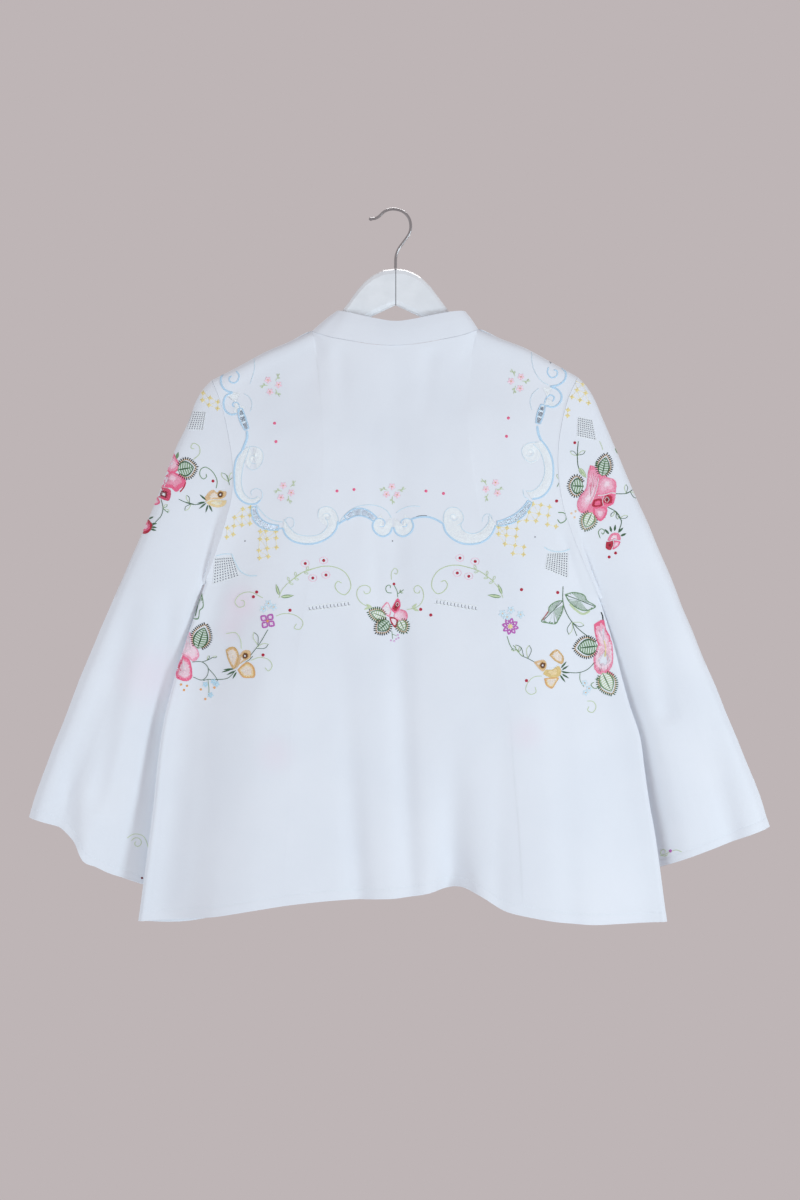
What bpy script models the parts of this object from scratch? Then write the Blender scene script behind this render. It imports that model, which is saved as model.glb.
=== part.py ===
"""A loose cotton jacket with a stand collar and bell sleeves, cut from an embroidered tablecloth and hung on
a wooden hanger. Its back faces -Y, and +X runs to the right as the back is seen. The origin is the inside of
the hook's crest. Lengths are in millimetres until a mesh is made."""

import bmesh
import bpy
import numpy as np

MM = 0.001

# Driving sizes
CLOTH = 1.4
COLLAR_CLOTH = 1.6
SEAM_GAP = 0.3
HALF_GAP = SEAM_GAP / 2
NECK_GAP = 0.25
NECK_TURN = 0.3
NECK_TURN_DEPTH = 12.0
CENTRE_X = 4.8
HANGER_THICK = 13.0
HANGER_END = 0.45
HANGER_TAPER = 40.0
WIRE_RADIUS = 1.7
BALL_RADIUS = 2.3
FRONT_OPENING = 5.0
HEM_SAMPLES = 160
SPLINE_STEPS = 13

# Fold depth of the body at its flattened side edges
EDGE_DEPTH = 4.0
EDGE_TIP = 3.5
EDGE_SHELF = 28.0
EDGE_RISE = 95.0
SHELF_START = 25.0
SHELF_GROWTH = 130.0

# Troughs fade in past these distances from the top edge and the sides of a panel
CALM_TOP = 8.0
CALM_TOP_FADE = 40.0
CALM_SIDE = 12.0
CALM_SIDE_FADE = 30.0
TROUGH_FADE = 0.12
TROUGH_GROWTH = 1.5

# Rows and columns next to a panel's edges whose depth isn't evened
FIRM_ROWS = 4
FIRM_COLUMNS = 3
SOFTEN_ROUNDS = 2

# The rounded ridge along each shoulder
RIDGE_DEPTH = 10.0
RIDGE_FALL = 12.0
RIDGE_RISE = 110.0

# Columns: x, z along each shoulder, from the tip to the neck
SHOULDER = {
    "left": [(-215.4, -203.4), (-189.0, -190.2), (-154.2, -171.0), (-129.0, -160.2), (-95.4, -144.6)],
    "right": [(223.2, -199.8), (199.8, -186.6), (154.2, -162.1), (129.0, -153.0), (103.8, -142.2)],
}

# Columns: x, z down each armhole, from the shoulder tip to the underarm
ARMHOLE = {
    "left": [(-215.4, -203.4), (-202.2, -238.2), (-190.2, -303.0), (-190.5, -340.0), (-201.5, -385.0),
             (-223.8, -448.2)],
    "right": [(223.2, -199.8), (209.4, -232.2), (199.0, -290.0), (203.0, -345.0), (217.8, -393.0),
              (250.2, -467.4)],
}

# Columns: x, z down each side seam, from the underarm to the hem
SIDE = {
    "left": [(-223.8, -448.2), (-250.6, -528.6), (-263.8, -573.0), (-276.0, -626.4), (-286.0, -715.2),
             (-303.7, -852.6)],
    "right": [(250.2, -467.4), (268.8, -528.6), (282.1, -582.0), (297.6, -628.2), (306.6, -693.0),
              (317.4, -755.4), (330.6, -853.2)],
}

# Columns: x, z along the hem
HEM_BACK = [(-303.7, -852.6), (-261.5, -849.6), (-211.0, -843.8), (-142.2, -831.7), (-73.3, -823.8),
            (13.8, -820.4), (50.0, -814.6), (76.0, -808.4), (96.6, -813.2), (128.5, -833.4),
            (192.6, -848.2), (259.1, -854.3), (330.6, -853.2)]
HEM_FRONT = [(-303.7, -852.6), (-250.0, -854.0), (-211.0, -849.5), (-155.0, -836.0), (-73.0, -818.0),
             (4.8, -812.0), (70.0, -803.0), (130.0, -826.0), (192.0, -843.0), (259.0, -850.0),
             (330.6, -853.2)]

# Columns: x, y, z of the collar's foot, then x, y, z of its top edge, from side to side
COLLAR_BACK = [
    (-95.4, 0.0, -144.6, -66.0, 0.0, -121.2),
    (-93.0, -9.0, -146.6, -64.8, -7.5, -120.9),
    (-84.0, -14.0, -150.2, -59.0, -12.0, -121.8),
    (-66.0, -17.5, -154.8, -49.5, -14.5, -124.0),
    (-44.0, -19.8, -158.8, -34.5, -16.5, -127.6),
    (-20.0, -21.3, -162.6, -16.0, -17.5, -131.5),
    (4.2, -22.0, -163.8, 4.8, -18.5, -134.4),
    (28.0, -21.3, -162.0, 27.0, -17.5, -131.6),
    (52.0, -19.8, -158.0, 49.0, -16.5, -127.0),
    (75.0, -17.5, -153.2, 68.0, -14.5, -123.2),
    (93.0, -14.0, -148.4, 82.0, -12.0, -121.6),
    (101.6, -9.0, -144.4, 88.0, -7.5, -121.6),
    (103.8, 0.0, -142.2, 88.9, 0.0, -122.6),
]
COLLAR_FRONT_LEFT = [
    (-95.4, 0.0, -144.6, -66.0, 0.0, -121.2),
    (-93.6, 9.0, -146.4, -65.2, 7.5, -122.2),
    (-87.5, 14.5, -154.0, -61.0, 12.5, -128.5),
    (-74.0, 18.0, -171.5, -53.0, 16.0, -142.5),
    (-55.0, 20.8, -187.5, -41.0, 18.0, -157.0),
    (-28.0, 23.0, -199.5, -21.0, 20.0, -170.5),
    (3.8, 24.0, -204.5, 3.8, 21.0, -176.0),
]
COLLAR_FRONT_RIGHT = [
    (103.8, 0.0, -142.2, 88.9, 0.0, -122.6),
    (102.1, 9.0, -144.2, 88.0, 7.5, -123.6),
    (96.2, 14.5, -152.0, 82.5, 12.5, -129.5),
    (83.0, 18.0, -170.0, 71.5, 16.0, -143.0),
    (64.0, 20.8, -186.6, 54.0, 18.0, -157.0),
    (37.0, 23.0, -199.3, 32.0, 20.0, -170.5),
    (5.8, 24.0, -204.5, 5.8, 21.0, -176.0),
]

# Columns: share of the stand's height, how far its middle bows out
COLLAR_BOW = [(0.0, 0.0), (0.35, 0.8), (0.7, 0.9), (1.0, 0.0)]
COLLAR_MIDDLE_DROP = 60.0

# Fractions of each boundary where the panels have their columns and rows
SHOULDER_STOPS = [0.0, 0.016, 0.047, 0.15, 0.33, 0.54, 0.77, 1.0]
BACK_NECK_STOPS = [0.0, 0.043, 0.12, 0.245, 0.37, 0.49, 0.59, 0.66, 0.72, 0.79, 0.88, 0.957, 1.0]
FRONT_NECK_STOPS = [0.0, 0.07, 0.17, 0.32, 0.48, 0.64, 0.81, 1.0]
ARMHOLE_STOPS = [0.0, 0.007, 0.02, 0.045, 0.085, 0.14, 0.21, 0.29, 0.38, 0.48, 0.58, 0.68, 0.78, 0.87,
                 0.94, 0.98, 1.0]
SIDE_STOPS = [0.0, 0.03, 0.08, 0.15, 0.24, 0.33, 0.43, 0.53, 0.63, 0.73, 0.83, 0.92, 1.0]

# Columns: z, half depth of the back, half depth of the fronts
BODY_DEPTH = [(-140.0, 20.0, 20.0), (-220.0, 24.0, 25.0), (-300.0, 29.0, 28.0), (-400.0, 33.0, 31.0),
              (-550.0, 38.0, 34.0), (-700.0, 42.0, 38.0), (-855.0, 46.0, 41.0)]
ARMHOLE_DEPTH = 17.0
ARMHOLE_POWER = 2.3
# The way from an armhole into its sleeve, for the right side
SLEEVE_WAY = (1.0, 0.0, -0.12)

# Columns: x and z of a trough's top, x and z of its foot, depth at the top, depth at the foot, half width
BACK_TROUGHS = [
    (2.0, -168.0, 2.0, -480.0, 2.5, 3.5, 13.0),
    (4.0, -480.0, 48.0, -840.0, 3.5, 5.5, 17.0),
    (-86.0, -500.0, -42.0, -830.0, 1.0, 7.0, 20.0),
    (78.0, -600.0, 77.0, -850.0, 0.0, 24.0, 22.0),
    (122.0, -530.0, 138.0, -790.0, 1.0, 4.5, 18.0),
    (-100.0, -190.0, -142.0, -380.0, 1.5, 2.5, 16.0),
    (92.0, -190.0, 138.0, -380.0, 1.5, 2.5, 16.0),
    (226.0, -520.0, 277.0, -720.0, 1.0, 3.5, 11.0),
    (-226.0, -570.0, -256.0, -760.0, 1.0, 3.0, 11.0),
]
FRONT_TROUGHS = [
    (-58.0, -260.0, -92.0, -840.0, 1.5, 8.0, 20.0),
    (-150.0, -420.0, -190.0, -850.0, 1.0, 6.0, 18.0),
    (66.0, -260.0, 104.0, -840.0, 1.5, 7.0, 20.0),
    (160.0, -420.0, 214.0, -850.0, 1.0, 6.5, 18.0),
]

# Columns: x, z along each sleeve's outer edge, from the shoulder to the cuff
SLEEVE_OUTER = {
    "left": [(-215.4, -203.4), (-229.8, -219.0), (-243.0, -251.4), (-261.5, -291.0), (-284.5, -351.0),
             (-325.8, -445.8), (-372.6, -555.0), (-412.6, -657.0), (-430.3, -703.8), (-437.6, -729.6)],
    "right": [(223.2, -199.8), (238.2, -216.6), (257.4, -258.6), (285.0, -323.4), (322.2, -407.4),
              (366.6, -515.4), (402.0, -599.4), (442.2, -697.8), (456.6, -741.0)],
}

# Columns: x, y, z along each sleeve's inner edge, from the underarm to the cuff
SLEEVE_INNER = {
    "left": [(-223.8, 0.0, -448.2), (-229.0, 5.5, -454.0), (-232.5, 10.5, -464.0), (-234.5, 14.0, -480.0),
             (-237.0, 17.5, -505.0), (-241.0, 21.5, -550.0), (-247.5, 26.5, -640.0), (-257.0, 31.0, -730.0),
             (-268.0, 35.0, -819.0)],
    "right": [(250.2, 0.0, -467.4), (257.2, 5.5, -473.0), (260.2, 10.5, -483.0), (261.2, 14.0, -498.0),
              (262.6, 17.5, -522.0), (266.5, 21.5, -565.0), (276.5, 26.5, -640.0), (287.0, 31.0, -720.0),
              (298.0, 35.0, -798.6)],
}

# Columns: share of the way from the outer edge to the inner one, x, z of the cuff
CUFF = {
    "left": [(0.0, -437.6, -729.6), (0.25, -398.0, -741.5), (0.36, -383.0, -756.0), (0.44, -372.0, -780.0),
             (0.6, -341.0, -796.0), (0.8, -304.0, -809.5), (1.0, -268.0, -819.0)],
    "right": [(0.0, 456.6, -741.0), (0.25, 415.0, -756.5), (0.5, 375.0, -771.0), (0.75, 336.0, -785.5),
              (1.0, 298.0, -798.6)],
}

# Columns: share down the sleeve, half thickness there, y of the outer edge
SLEEVE_SIZE = [(0.0, 17.0, 0.0), (0.15, 19.0, 2.0), (0.4, 20.0, 8.0), (0.7, 20.0, 14.0), (1.0, 21.0, 20.0)]
SLEEVE_STOPS = [0.0, 0.022, 0.055, 0.1, 0.16, 0.24, 0.33, 0.43, 0.53, 0.64, 0.75, 0.86, 0.94, 1.0]
SLEEVE_POWER = 2.4
INNER_TIP = 0.75
INNER_TIP_START = 0.55
CAP_BLEND = 0.3
HEAD_FADE = 1.6 * CAP_BLEND
EVEN_SHARE = 0.55
CUFF_START = 0.6
CUFF_TROUGH_START = 0.3
FRONT_TROUGH_SHARE = 0.5
CUFF_FRONT_LIFT = 2.0

# Columns: share across from the outer edge, depth of the trough at the cuff, half width as a share
CUFF_TROUGHS = {
    "left": [(0.2, 9.0, 0.09), (0.42, -5.0, 0.08), (0.7, 4.0, 0.1)],
    "right": [(0.3, 3.0, 0.12), (0.6, -4.0, 0.15), (0.85, 4.0, 0.08)],
}

# Columns: x, z of the start, the middle and the end of a cut-out crescent, its width, its windows
CUTWORK = [
    ((-163.4, -358.5), (-156.0, -375.3), (-136.2, -381.4), 6.4, 5),
    ((-53.0, -369.1), (-37.1, -362.8), (-20.5, -370.7), 7.0, 4),
    ((127.9, -376.4), (149.2, -368.5), (163.8, -352.1), 6.4, 5),
    ((-179.9, -240.6), (-177.1, -251.5), (-172.3, -263.4), 5.6, 3),
    ((180.4, -236.2), (177.4, -245.5), (174.5, -256.5), 5.6, 3),
]
CUTWORK_BAR = 1.3
CRESCENT_END = 0.62
WINDOW_NEAR = -75.0
WINDOW_FAR = -4.0

# Columns: x, z of the hanger's upper edge, z of its lower edge
HANGER = [
    (-205.0, -207.5, -210.5), (-202.5, -204.8, -213.6), (-197.0, -201.0, -214.6), (-180.0, -189.8, -208.0),
    (-154.2, -174.2, -196.0), (-129.0, -163.2, -183.0), (-105.0, -153.0, -170.0), (-95.4, -149.4, -165.0),
    (-80.0, -139.2, -157.0), (-66.0, -126.8, -149.5), (-59.2, -119.9, -146.0), (-51.0, -109.8, -141.5),
    (-45.0, -101.0, -138.5), (-39.4, -93.7, -135.5), (-31.0, -84.5, -131.0), (-22.2, -77.6, -126.6),
    (-10.0, -71.6, -120.8), (4.8, -69.8, -113.8), (16.0, -71.0, -119.0), (26.0, -74.6, -123.8),
    (35.4, -80.2, -128.0), (46.8, -91.2, -133.5), (58.2, -106.6, -138.5), (69.7, -121.8, -144.5),
    (84.0, -133.6, -151.5), (98.0, -144.2, -159.5), (112.0, -150.6, -167.5), (129.0, -156.6, -178.0),
    (154.2, -165.6, -189.5), (183.0, -179.9, -202.5), (200.0, -191.5, -210.0), (209.0, -200.2, -212.0),
    (212.5, -204.0, -208.5),
]

# Columns: x, z along the hook's wire, from its foot to its tip
HOOK = [(4.8, -69.3), (5.4, -54.6), (8.6, -46.0), (16.2, -35.4), (21.6, -27.0), (23.1, -17.9), (20.6, -8.4),
        (13.0, -0.9), (0.6, 1.7), (-8.6, -1.2), (-14.8, -7.0), (-19.5, -9.6), (-23.0, -10.0)]
HOOK_SIDES = 10
HOOK_STEPS = 34
# Columns: distance past the wire's end and radius there, both in ball radii
BALL = [(0.25, 0.85), (0.7, 1.0), (1.2, 0.9), (1.6, 0.6), (1.85, 0.25)]


def new_material(name, color, roughness, metallic=0.0):
    material = bpy.data.materials.new(name)
    material.use_nodes = True
    shader = material.node_tree.nodes["Principled BSDF"]
    shader.inputs["Base Color"].default_value = (*color, 1.0)
    shader.inputs["Roughness"].default_value = roughness
    shader.inputs["Metallic"].default_value = metallic
    return material


def spline(points, stops):
    """Points on a smooth curve through the given ones, at the given shares of its length."""
    points = np.asarray(points, float)
    chord = np.linalg.norm(np.diff(points, axis=0), axis=1)
    knots = np.concatenate([[0.0], np.cumsum(np.sqrt(chord))])
    slopes = np.gradient(points, knots, axis=0)
    fine = np.unique(np.concatenate([np.linspace(a, b, SPLINE_STEPS) for a, b in zip(knots, knots[1:])]))
    index = np.clip(np.searchsorted(knots, fine, side="right") - 1, 0, len(knots) - 2)
    span = (knots[index + 1] - knots[index])[:, None]
    t = (fine[:, None] - knots[index][:, None]) / span
    start, end = points[index], points[index + 1]
    lead, lag = slopes[index] * span, slopes[index + 1] * span
    curve = ((2 * t**3 - 3 * t**2 + 1) * start + (t**3 - 2 * t**2 + t) * lead
             + (3 * t**2 - 2 * t**3) * end + (t**3 - t**2) * lag)
    length = np.concatenate([[0.0], np.cumsum(np.linalg.norm(np.diff(curve, axis=0), axis=1))])
    wanted = np.asarray(stops, float) * length[-1]
    return np.stack([np.interp(wanted, length, column) for column in curve.T], axis=1)


def smooth(share):
    share = np.clip(share, 0.0, 1.0)
    return share * share * (3 - 2 * share)


def quarter_round(share):
    """Rises from 0 to 1 as a quarter of a circle does."""
    share = np.clip(share, 0.0, 1.0)
    return np.sqrt(1 - (1 - share) ** 2)


def unit(vectors):
    return vectors / np.maximum(np.linalg.norm(vectors, axis=-1, keepdims=True), 1e-9)


def surface_normals(grid):
    return unit(np.cross(np.gradient(grid, axis=1), np.gradient(grid, axis=0)))


def lens(stops, power):
    """The half thickness of a flattened tube across its width, as a share of the largest."""
    return (1 - np.abs(2 * np.asarray(stops) - 1) ** power) ** (1 / power)


def armhole_points(side, front):
    """The seam between a panel and its sleeve, from the shoulder tip down to the underarm."""
    flat = spline(ARMHOLE[side], ARMHOLE_STOPS)
    depth = np.maximum(ARMHOLE_DEPTH * lens(ARMHOLE_STOPS, ARMHOLE_POWER), HALF_GAP)
    return np.column_stack([flat[:, 0], depth if front else -depth, flat[:, 1]])


def armhole_normals(points, side):
    """The direction out of the cloth all along the armhole, square to the seam."""
    away = np.array(SLEEVE_WAY) * ([-1.0, 1.0, 1.0] if side == "left" else 1.0)
    tangent = np.gradient(points, axis=0)
    tangent[0] = tangent[-1] = (0.0, 1.0, 0.0)
    normal = unit(np.cross(tangent, away))
    normal[0] = (0.0, 0.0, 1.0)
    normal[-1] = (0.0, 0.0, -1.0)
    face = 1.0 if points[:, 1].mean() > 0 else -1.0
    middle = slice(1, -1)
    normal[middle] *= np.where(normal[middle, 1] * face < 0, -1.0, 1.0)[:, None]
    return normal, away / np.linalg.norm(away)


def collar_points(table, stops):
    columns = spline(table, stops)
    return columns[:, :3], columns[:, 3:]


def collar_normals(foot, top):
    """The direction out of the stand at its foot."""
    tangent = np.gradient(foot, axis=0)
    normal = unit(np.cross(tangent, top - foot))
    middle = np.array([CENTRE_X, 0.0, foot[:, 2].mean() - COLLAR_MIDDLE_DROP])
    out = foot - middle
    normal = normal * np.where((normal * out).sum(axis=1) < 0, -1.0, 1.0)[:, None]
    # The panel below hangs straighter than the stand, so their shared rim turns part of the way to y
    normal[:, 1] += NECK_TURN * np.clip(foot[:, 1] / NECK_TURN_DEPTH, -1.0, 1.0)
    return unit(normal)


def clamp_side_normal(normal):
    """A shoulder or neck end lies on the fold between back and front, so its normal has no y."""
    return unit(normal * np.array([1.0, 0.0, 1.0]))


def trough_depth(troughs, x, z):
    total = np.zeros_like(x)
    for top_x, top_z, foot_x, foot_z, top_depth, foot_depth, width in troughs:
        share = (top_z - z) / (top_z - foot_z)
        begun = smooth((share + TROUGH_FADE) / (2 * TROUGH_FADE))
        unended = smooth((1 + TROUGH_FADE - share) / TROUGH_FADE)
        share = np.clip(share, 0.0, 1.0)
        line_x = top_x + (foot_x - top_x) * share
        depth = top_depth + (foot_depth - top_depth) * share**TROUGH_GROWTH
        total += depth * begun * unended * np.exp(-(((x - line_x) / width) ** 2))
    return total


def coons(top, bottom, left, right):
    """A sheet of x and z filled in between its four edges."""
    width = abs(top[-1, 0] - top[0, 0])
    u = (np.abs(top[:, 0] - top[0, 0]) / width)[None, :, None]
    v_left = (left[:, 1] - left[0, 1]) / (left[-1, 1] - left[0, 1])
    v_right = (right[:, 1] - right[0, 1]) / (right[-1, 1] - right[0, 1])
    v = (v_left[:, None] * (1 - u[0, :, 0])[None, :] + v_right[:, None] * u[0, :, 0][None, :])[:, :, None]
    across = (1 - v) * top[None] + v * bottom[None]
    down = (1 - u) * left[:, None] + u * right[:, None]
    corners = ((1 - u) * (1 - v) * top[0] + u * (1 - v) * top[-1]
               + (1 - u) * v * bottom[0] + u * v * bottom[-1])
    return across + down - corners


def panel_depth(x, z, side_gap, edge, below_underarm, top_gap, top_depth, column, troughs):
    """Half depth of a panel from its distances to its side edges and to its top edge."""
    deep = np.interp(-z, [-row[0] for row in BODY_DEPTH], [row[column] for row in BODY_DEPTH])
    shelf = np.maximum(edge, EDGE_DEPTH)
    flat = EDGE_SHELF * smooth((below_underarm + SHELF_START) / SHELF_GROWTH)
    rise = smooth((side_gap - flat) / EDGE_RISE)
    from_side = edge + (shelf - edge) * quarter_round(side_gap / EDGE_TIP) + (deep - shelf) * rise
    ridge = np.maximum(RIDGE_DEPTH, top_depth)
    from_top = top_depth + (ridge - top_depth) * quarter_round(top_gap / RIDGE_FALL)
    from_top = from_top + (deep - ridge) * smooth((top_gap - RIDGE_FALL) / RIDGE_RISE)
    depth = np.minimum(from_side, from_top)
    calm_top = smooth((top_gap - CALM_TOP) / CALM_TOP_FADE)
    calm_side = smooth((side_gap - CALM_SIDE) / CALM_SIDE_FADE)
    return depth - calm_top * calm_side * trough_depth(troughs, x, z)


def soften(depth):
    """Evens the depth inside a panel and leaves the rows near its edges alone."""
    for _ in range(SOFTEN_ROUNDS):
        inner = depth[1:-1, 1:-1]
        around = (depth[:-2, 1:-1] + depth[2:, 1:-1] + depth[1:-1, :-2] + depth[1:-1, 2:]) / 4
        blend = np.full_like(inner, 0.5)
        blend[:FIRM_ROWS] = 0.0
        blend[:, :FIRM_COLUMNS] = 0.0
        depth[1:-1, 1:-1] = inner + blend * (around - inner)
    return depth


def offset_wall(outer, normals, thick):
    return outer - normals * thick


def panel_side(side, front):
    """One long edge of a panel: armhole then side seam, with normals and the way out of the panel."""
    arm = armhole_points(side, front)
    arm_normal, away = armhole_normals(arm, side)
    seam = spline(SIDE[side], SIDE_STOPS)
    y = HALF_GAP if front else -HALF_GAP
    run = unit(np.gradient(seam, axis=0))
    turn = -1.0 if side == "left" else 1.0
    seam_normal = np.column_stack([-turn * run[:, 1], np.zeros(len(run)), turn * run[:, 0]])
    points = np.vstack([arm, np.column_stack([seam[1:, 0], np.full(len(seam) - 1, y), seam[1:, 1]])])
    normals = np.vstack([arm_normal, seam_normal[1:]])
    pull = np.vstack([np.tile(-away * HALF_GAP, (len(arm), 1)), np.zeros((len(seam) - 1, 3))])
    return points, normals, pull


def back_panel():
    left, left_normal, left_pull = panel_side("left", False)
    right, right_normal, right_pull = panel_side("right", False)
    shoulder_left = spline(SHOULDER["left"], SHOULDER_STOPS)
    shoulder_right = spline(SHOULDER["right"], SHOULDER_STOPS)[::-1]
    foot, top = collar_points(COLLAR_BACK, BACK_NECK_STOPS)
    neck_normal = collar_normals(foot, top)
    neck_up = unit(top - foot)
    edge = np.vstack([shoulder_left, foot[1:-1][:, [0, 2]], shoulder_right])
    first_neck = len(shoulder_left) - 1
    last_neck = first_neck + len(foot) - 1
    edge_depth = np.full(len(edge), HALF_GAP)
    edge_depth[first_neck + 1:last_neck] = -foot[1:-1, 1]
    corners = (first_neck, last_neck)
    return build_panel(edge, edge_depth, corners, HEM_BACK, (left, left_normal, left_pull),
                       (right, right_normal, right_pull), (first_neck, last_neck), neck_normal, neck_up,
                       False, BACK_TROUGHS)


def front_panel(side):
    seam = panel_side(side, True)
    shoulder = spline(SHOULDER[side], SHOULDER_STOPS)
    table = COLLAR_FRONT_LEFT if side == "left" else COLLAR_FRONT_RIGHT
    foot, top = collar_points(table, FRONT_NECK_STOPS)
    neck_normal = collar_normals(foot, top)
    neck_up = unit(top - foot)
    edge = np.vstack([shoulder, foot[1:][:, [0, 2]]])
    first_neck = len(shoulder) - 1
    edge_depth = np.full(len(edge), HALF_GAP)
    edge_depth[first_neck + 1:] = foot[1:, 1]
    corners = (first_neck,)
    return build_panel(edge, edge_depth, corners, HEM_FRONT, seam, None,
                       (first_neck, len(edge) - 1), neck_normal, neck_up, True, FRONT_TROUGHS)


def build_panel(edge, edge_depth, corners, hem, first, last, neck, neck_normal, neck_up, front, troughs):
    """Outer and inner grids of a panel. A panel with no last side seam ends at the centre front. The
    corners are the columns where a shoulder meets the neck."""
    side, side_normal, side_pull = first
    left = side[:, [0, 2]]
    if last is None:
        foot_x = CENTRE_X + np.sign(side[0, 0]) * FRONT_OPENING
        share = (left[:, 1] - left[0, 1]) / (left[-1, 1] - left[0, 1])
        hem_z = np.interp(foot_x, [p[0] for p in hem], [p[1] for p in hem])
        right = edge[-1] + share[:, None] * (np.array([foot_x, hem_z]) - edge[-1])
    else:
        right = last[0][:, [0, 2]]
    hem_share = (edge[:, 0] - edge[0, 0]) / (edge[-1, 0] - edge[0, 0])
    hem_x = left[-1, 0] + hem_share * (right[-1, 0] - left[-1, 0])
    fine = spline(hem, np.linspace(0, 1, HEM_SAMPLES))
    bottom = np.column_stack([hem_x, np.interp(hem_x, fine[:, 0], fine[:, 1])])
    bottom[0], bottom[-1] = left[-1], right[-1]
    flat = coons(edge, bottom, left, right)
    x, z = flat[..., 0], flat[..., 1]
    side_gap = np.abs(x - x[:, :1])
    depth_edge = np.repeat(np.abs(side[:, 1])[:, None], len(edge), axis=1)
    if last is not None:
        other_gap = np.abs(x - x[:, -1:])
        other_edge = np.repeat(np.abs(last[0][:, 1])[:, None], len(edge), axis=1)
        nearer = other_gap < side_gap
        side_gap = np.where(nearer, other_gap, side_gap)
        depth_edge = np.where(nearer, other_edge, depth_edge)
    top_gap = edge[None, :, 1] - z
    below_underarm = z[len(ARMHOLE_STOPS) - 1][None] - z
    depth = panel_depth(x, z, side_gap, depth_edge, below_underarm, top_gap, edge_depth[None],
                        2 if front else 1, troughs)
    depth[0] = edge_depth
    depth[:, 0] = np.abs(side[:, 1])
    if last is not None:
        depth[:, -1] = np.abs(last[0][:, 1])
    depth = soften(depth)
    face = 1.0 if front else -1.0
    outer = np.stack([x, face * depth, z], axis=2)
    normals = surface_normals(outer)
    normals *= np.where((normals[..., 1] * face).mean() < 0, -1.0, 1.0)
    shoulder_normal = normals[0].copy()
    shoulder_run = unit(np.gradient(edge, axis=0))
    shoulder_normal[:] = np.column_stack([-shoulder_run[:, 1], np.zeros(len(edge)), shoulder_run[:, 0]])
    shoulder_normal *= np.where(shoulder_normal[:, 2] < 0, -1.0, 1.0)[:, None]
    start, end = neck
    shoulder_normal[start:end + 1] = neck_normal
    for corner in corners:
        shoulder_normal[corner] = clamp_side_normal(shoulder_normal[corner])
    normals[0] = shoulder_normal
    normals[:, 0] = side_normal
    pull = np.zeros_like(outer)
    pull[0, start:end + 1] = -neck_up * NECK_GAP
    pull[:, 0] = side_pull
    if last is not None:
        normals[:, -1] = last[1]
        pull[:, -1] = last[2]
    outer = outer + pull
    return outer, offset_wall(outer, normals, CLOTH)


def sleeve_rings(side):
    """Outer rings of a sleeve: across its back from the outer edge to the inner one, then round its front."""
    stops = np.array(ARMHOLE_STOPS)
    head = spline(ARMHOLE[side], ARMHOLE_STOPS)
    outer_line = spline(SLEEVE_OUTER[side], SLEEVE_STOPS)
    inner_line = spline(SLEEVE_INNER[side], SLEEVE_STOPS)
    cuff = CUFF[side]
    # The seam's stops crowd at its ends, and the cuff's spread out evenly
    even = np.linspace(0, 1, len(stops))
    rings = []
    for k, share in enumerate(SLEEVE_STOPS):
        blend = smooth(share / CAP_BLEND)
        place = stops + EVEN_SHARE * (even - stops) * blend
        half = np.interp(share, [row[0] for row in SLEEVE_SIZE], [row[1] for row in SLEEVE_SIZE])
        outer_y = np.interp(share, [row[0] for row in SLEEVE_SIZE], [row[2] for row in SLEEVE_SIZE])
        start = np.array([outer_line[k, 0], outer_y, outer_line[k, 1]])
        end = inner_line[k]
        middle = start + (end - start) * place[:, None]
        head_line = head[0] + (head[-1] - head[0]) * stops[:, None]
        middle[:, [0, 2]] += (1 - smooth(share / HEAD_FADE)) * (head - head_line)
        cuff_x = np.interp(place, [row[0] for row in cuff], [row[1] for row in cuff])
        cuff_z = np.interp(place, [row[0] for row in cuff], [row[2] for row in cuff])
        cuff_line = outer_line[-1] + (inner_line[-1][[0, 2]] - outer_line[-1]) * place[:, None]
        low = smooth((share - CUFF_START) / (1 - CUFF_START))
        middle[:, 0] += low * (cuff_x - cuff_line[:, 0])
        middle[:, 2] += low * (cuff_z - cuff_line[:, 1])
        head_half = ARMHOLE_DEPTH * lens(stops, ARMHOLE_POWER)
        thinner = smooth((place - INNER_TIP_START) / (1 - INNER_TIP_START))
        lower_half = half * lens(place, SLEEVE_POWER) * (1 - (1 - INNER_TIP) * thinner)
        thick = head_half + (lower_half - head_half) * blend
        trough = sum(deep * np.exp(-(((place - at) / width) ** 2)) for at, deep, width in CUFF_TROUGHS[side])
        grown = smooth((share - CUFF_TROUGH_START) / (1 - CUFF_TROUGH_START))
        trough = trough * grown * lens(place, 2.0)
        back = middle.copy()
        back[:, 1] += -thick + trough
        front = middle.copy()
        front[:, 1] += thick + FRONT_TROUGH_SHARE * trough
        front[:, 2] += CUFF_FRONT_LIFT * low * lens(place, 2.0)
        if k == 0:
            back = armhole_points(side, False)
            front = armhole_points(side, True)
            back[[0, -1], 1] = 0.0
        rings.append(np.vstack([back, front[-2:0:-1]]))
    return np.array(rings)


def sleeve(side):
    outer = sleeve_rings(side)
    wrapped = np.concatenate([outer[:, -1:], outer, outer[:, :1]], axis=1)
    normals = surface_normals(wrapped)[:, 1:-1]
    centre = outer.mean(axis=1, keepdims=True)
    if ((outer - centre) * normals).sum() < 0:
        normals = -normals
    back_normal, away = armhole_normals(armhole_points(side, False), side)
    front_normal, _ = armhole_normals(armhole_points(side, True), side)
    normals[0] = np.vstack([back_normal, front_normal[-2:0:-1]])
    outer[0] += away * HALF_GAP
    return outer, offset_wall(outer, normals, CLOTH)


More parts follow.
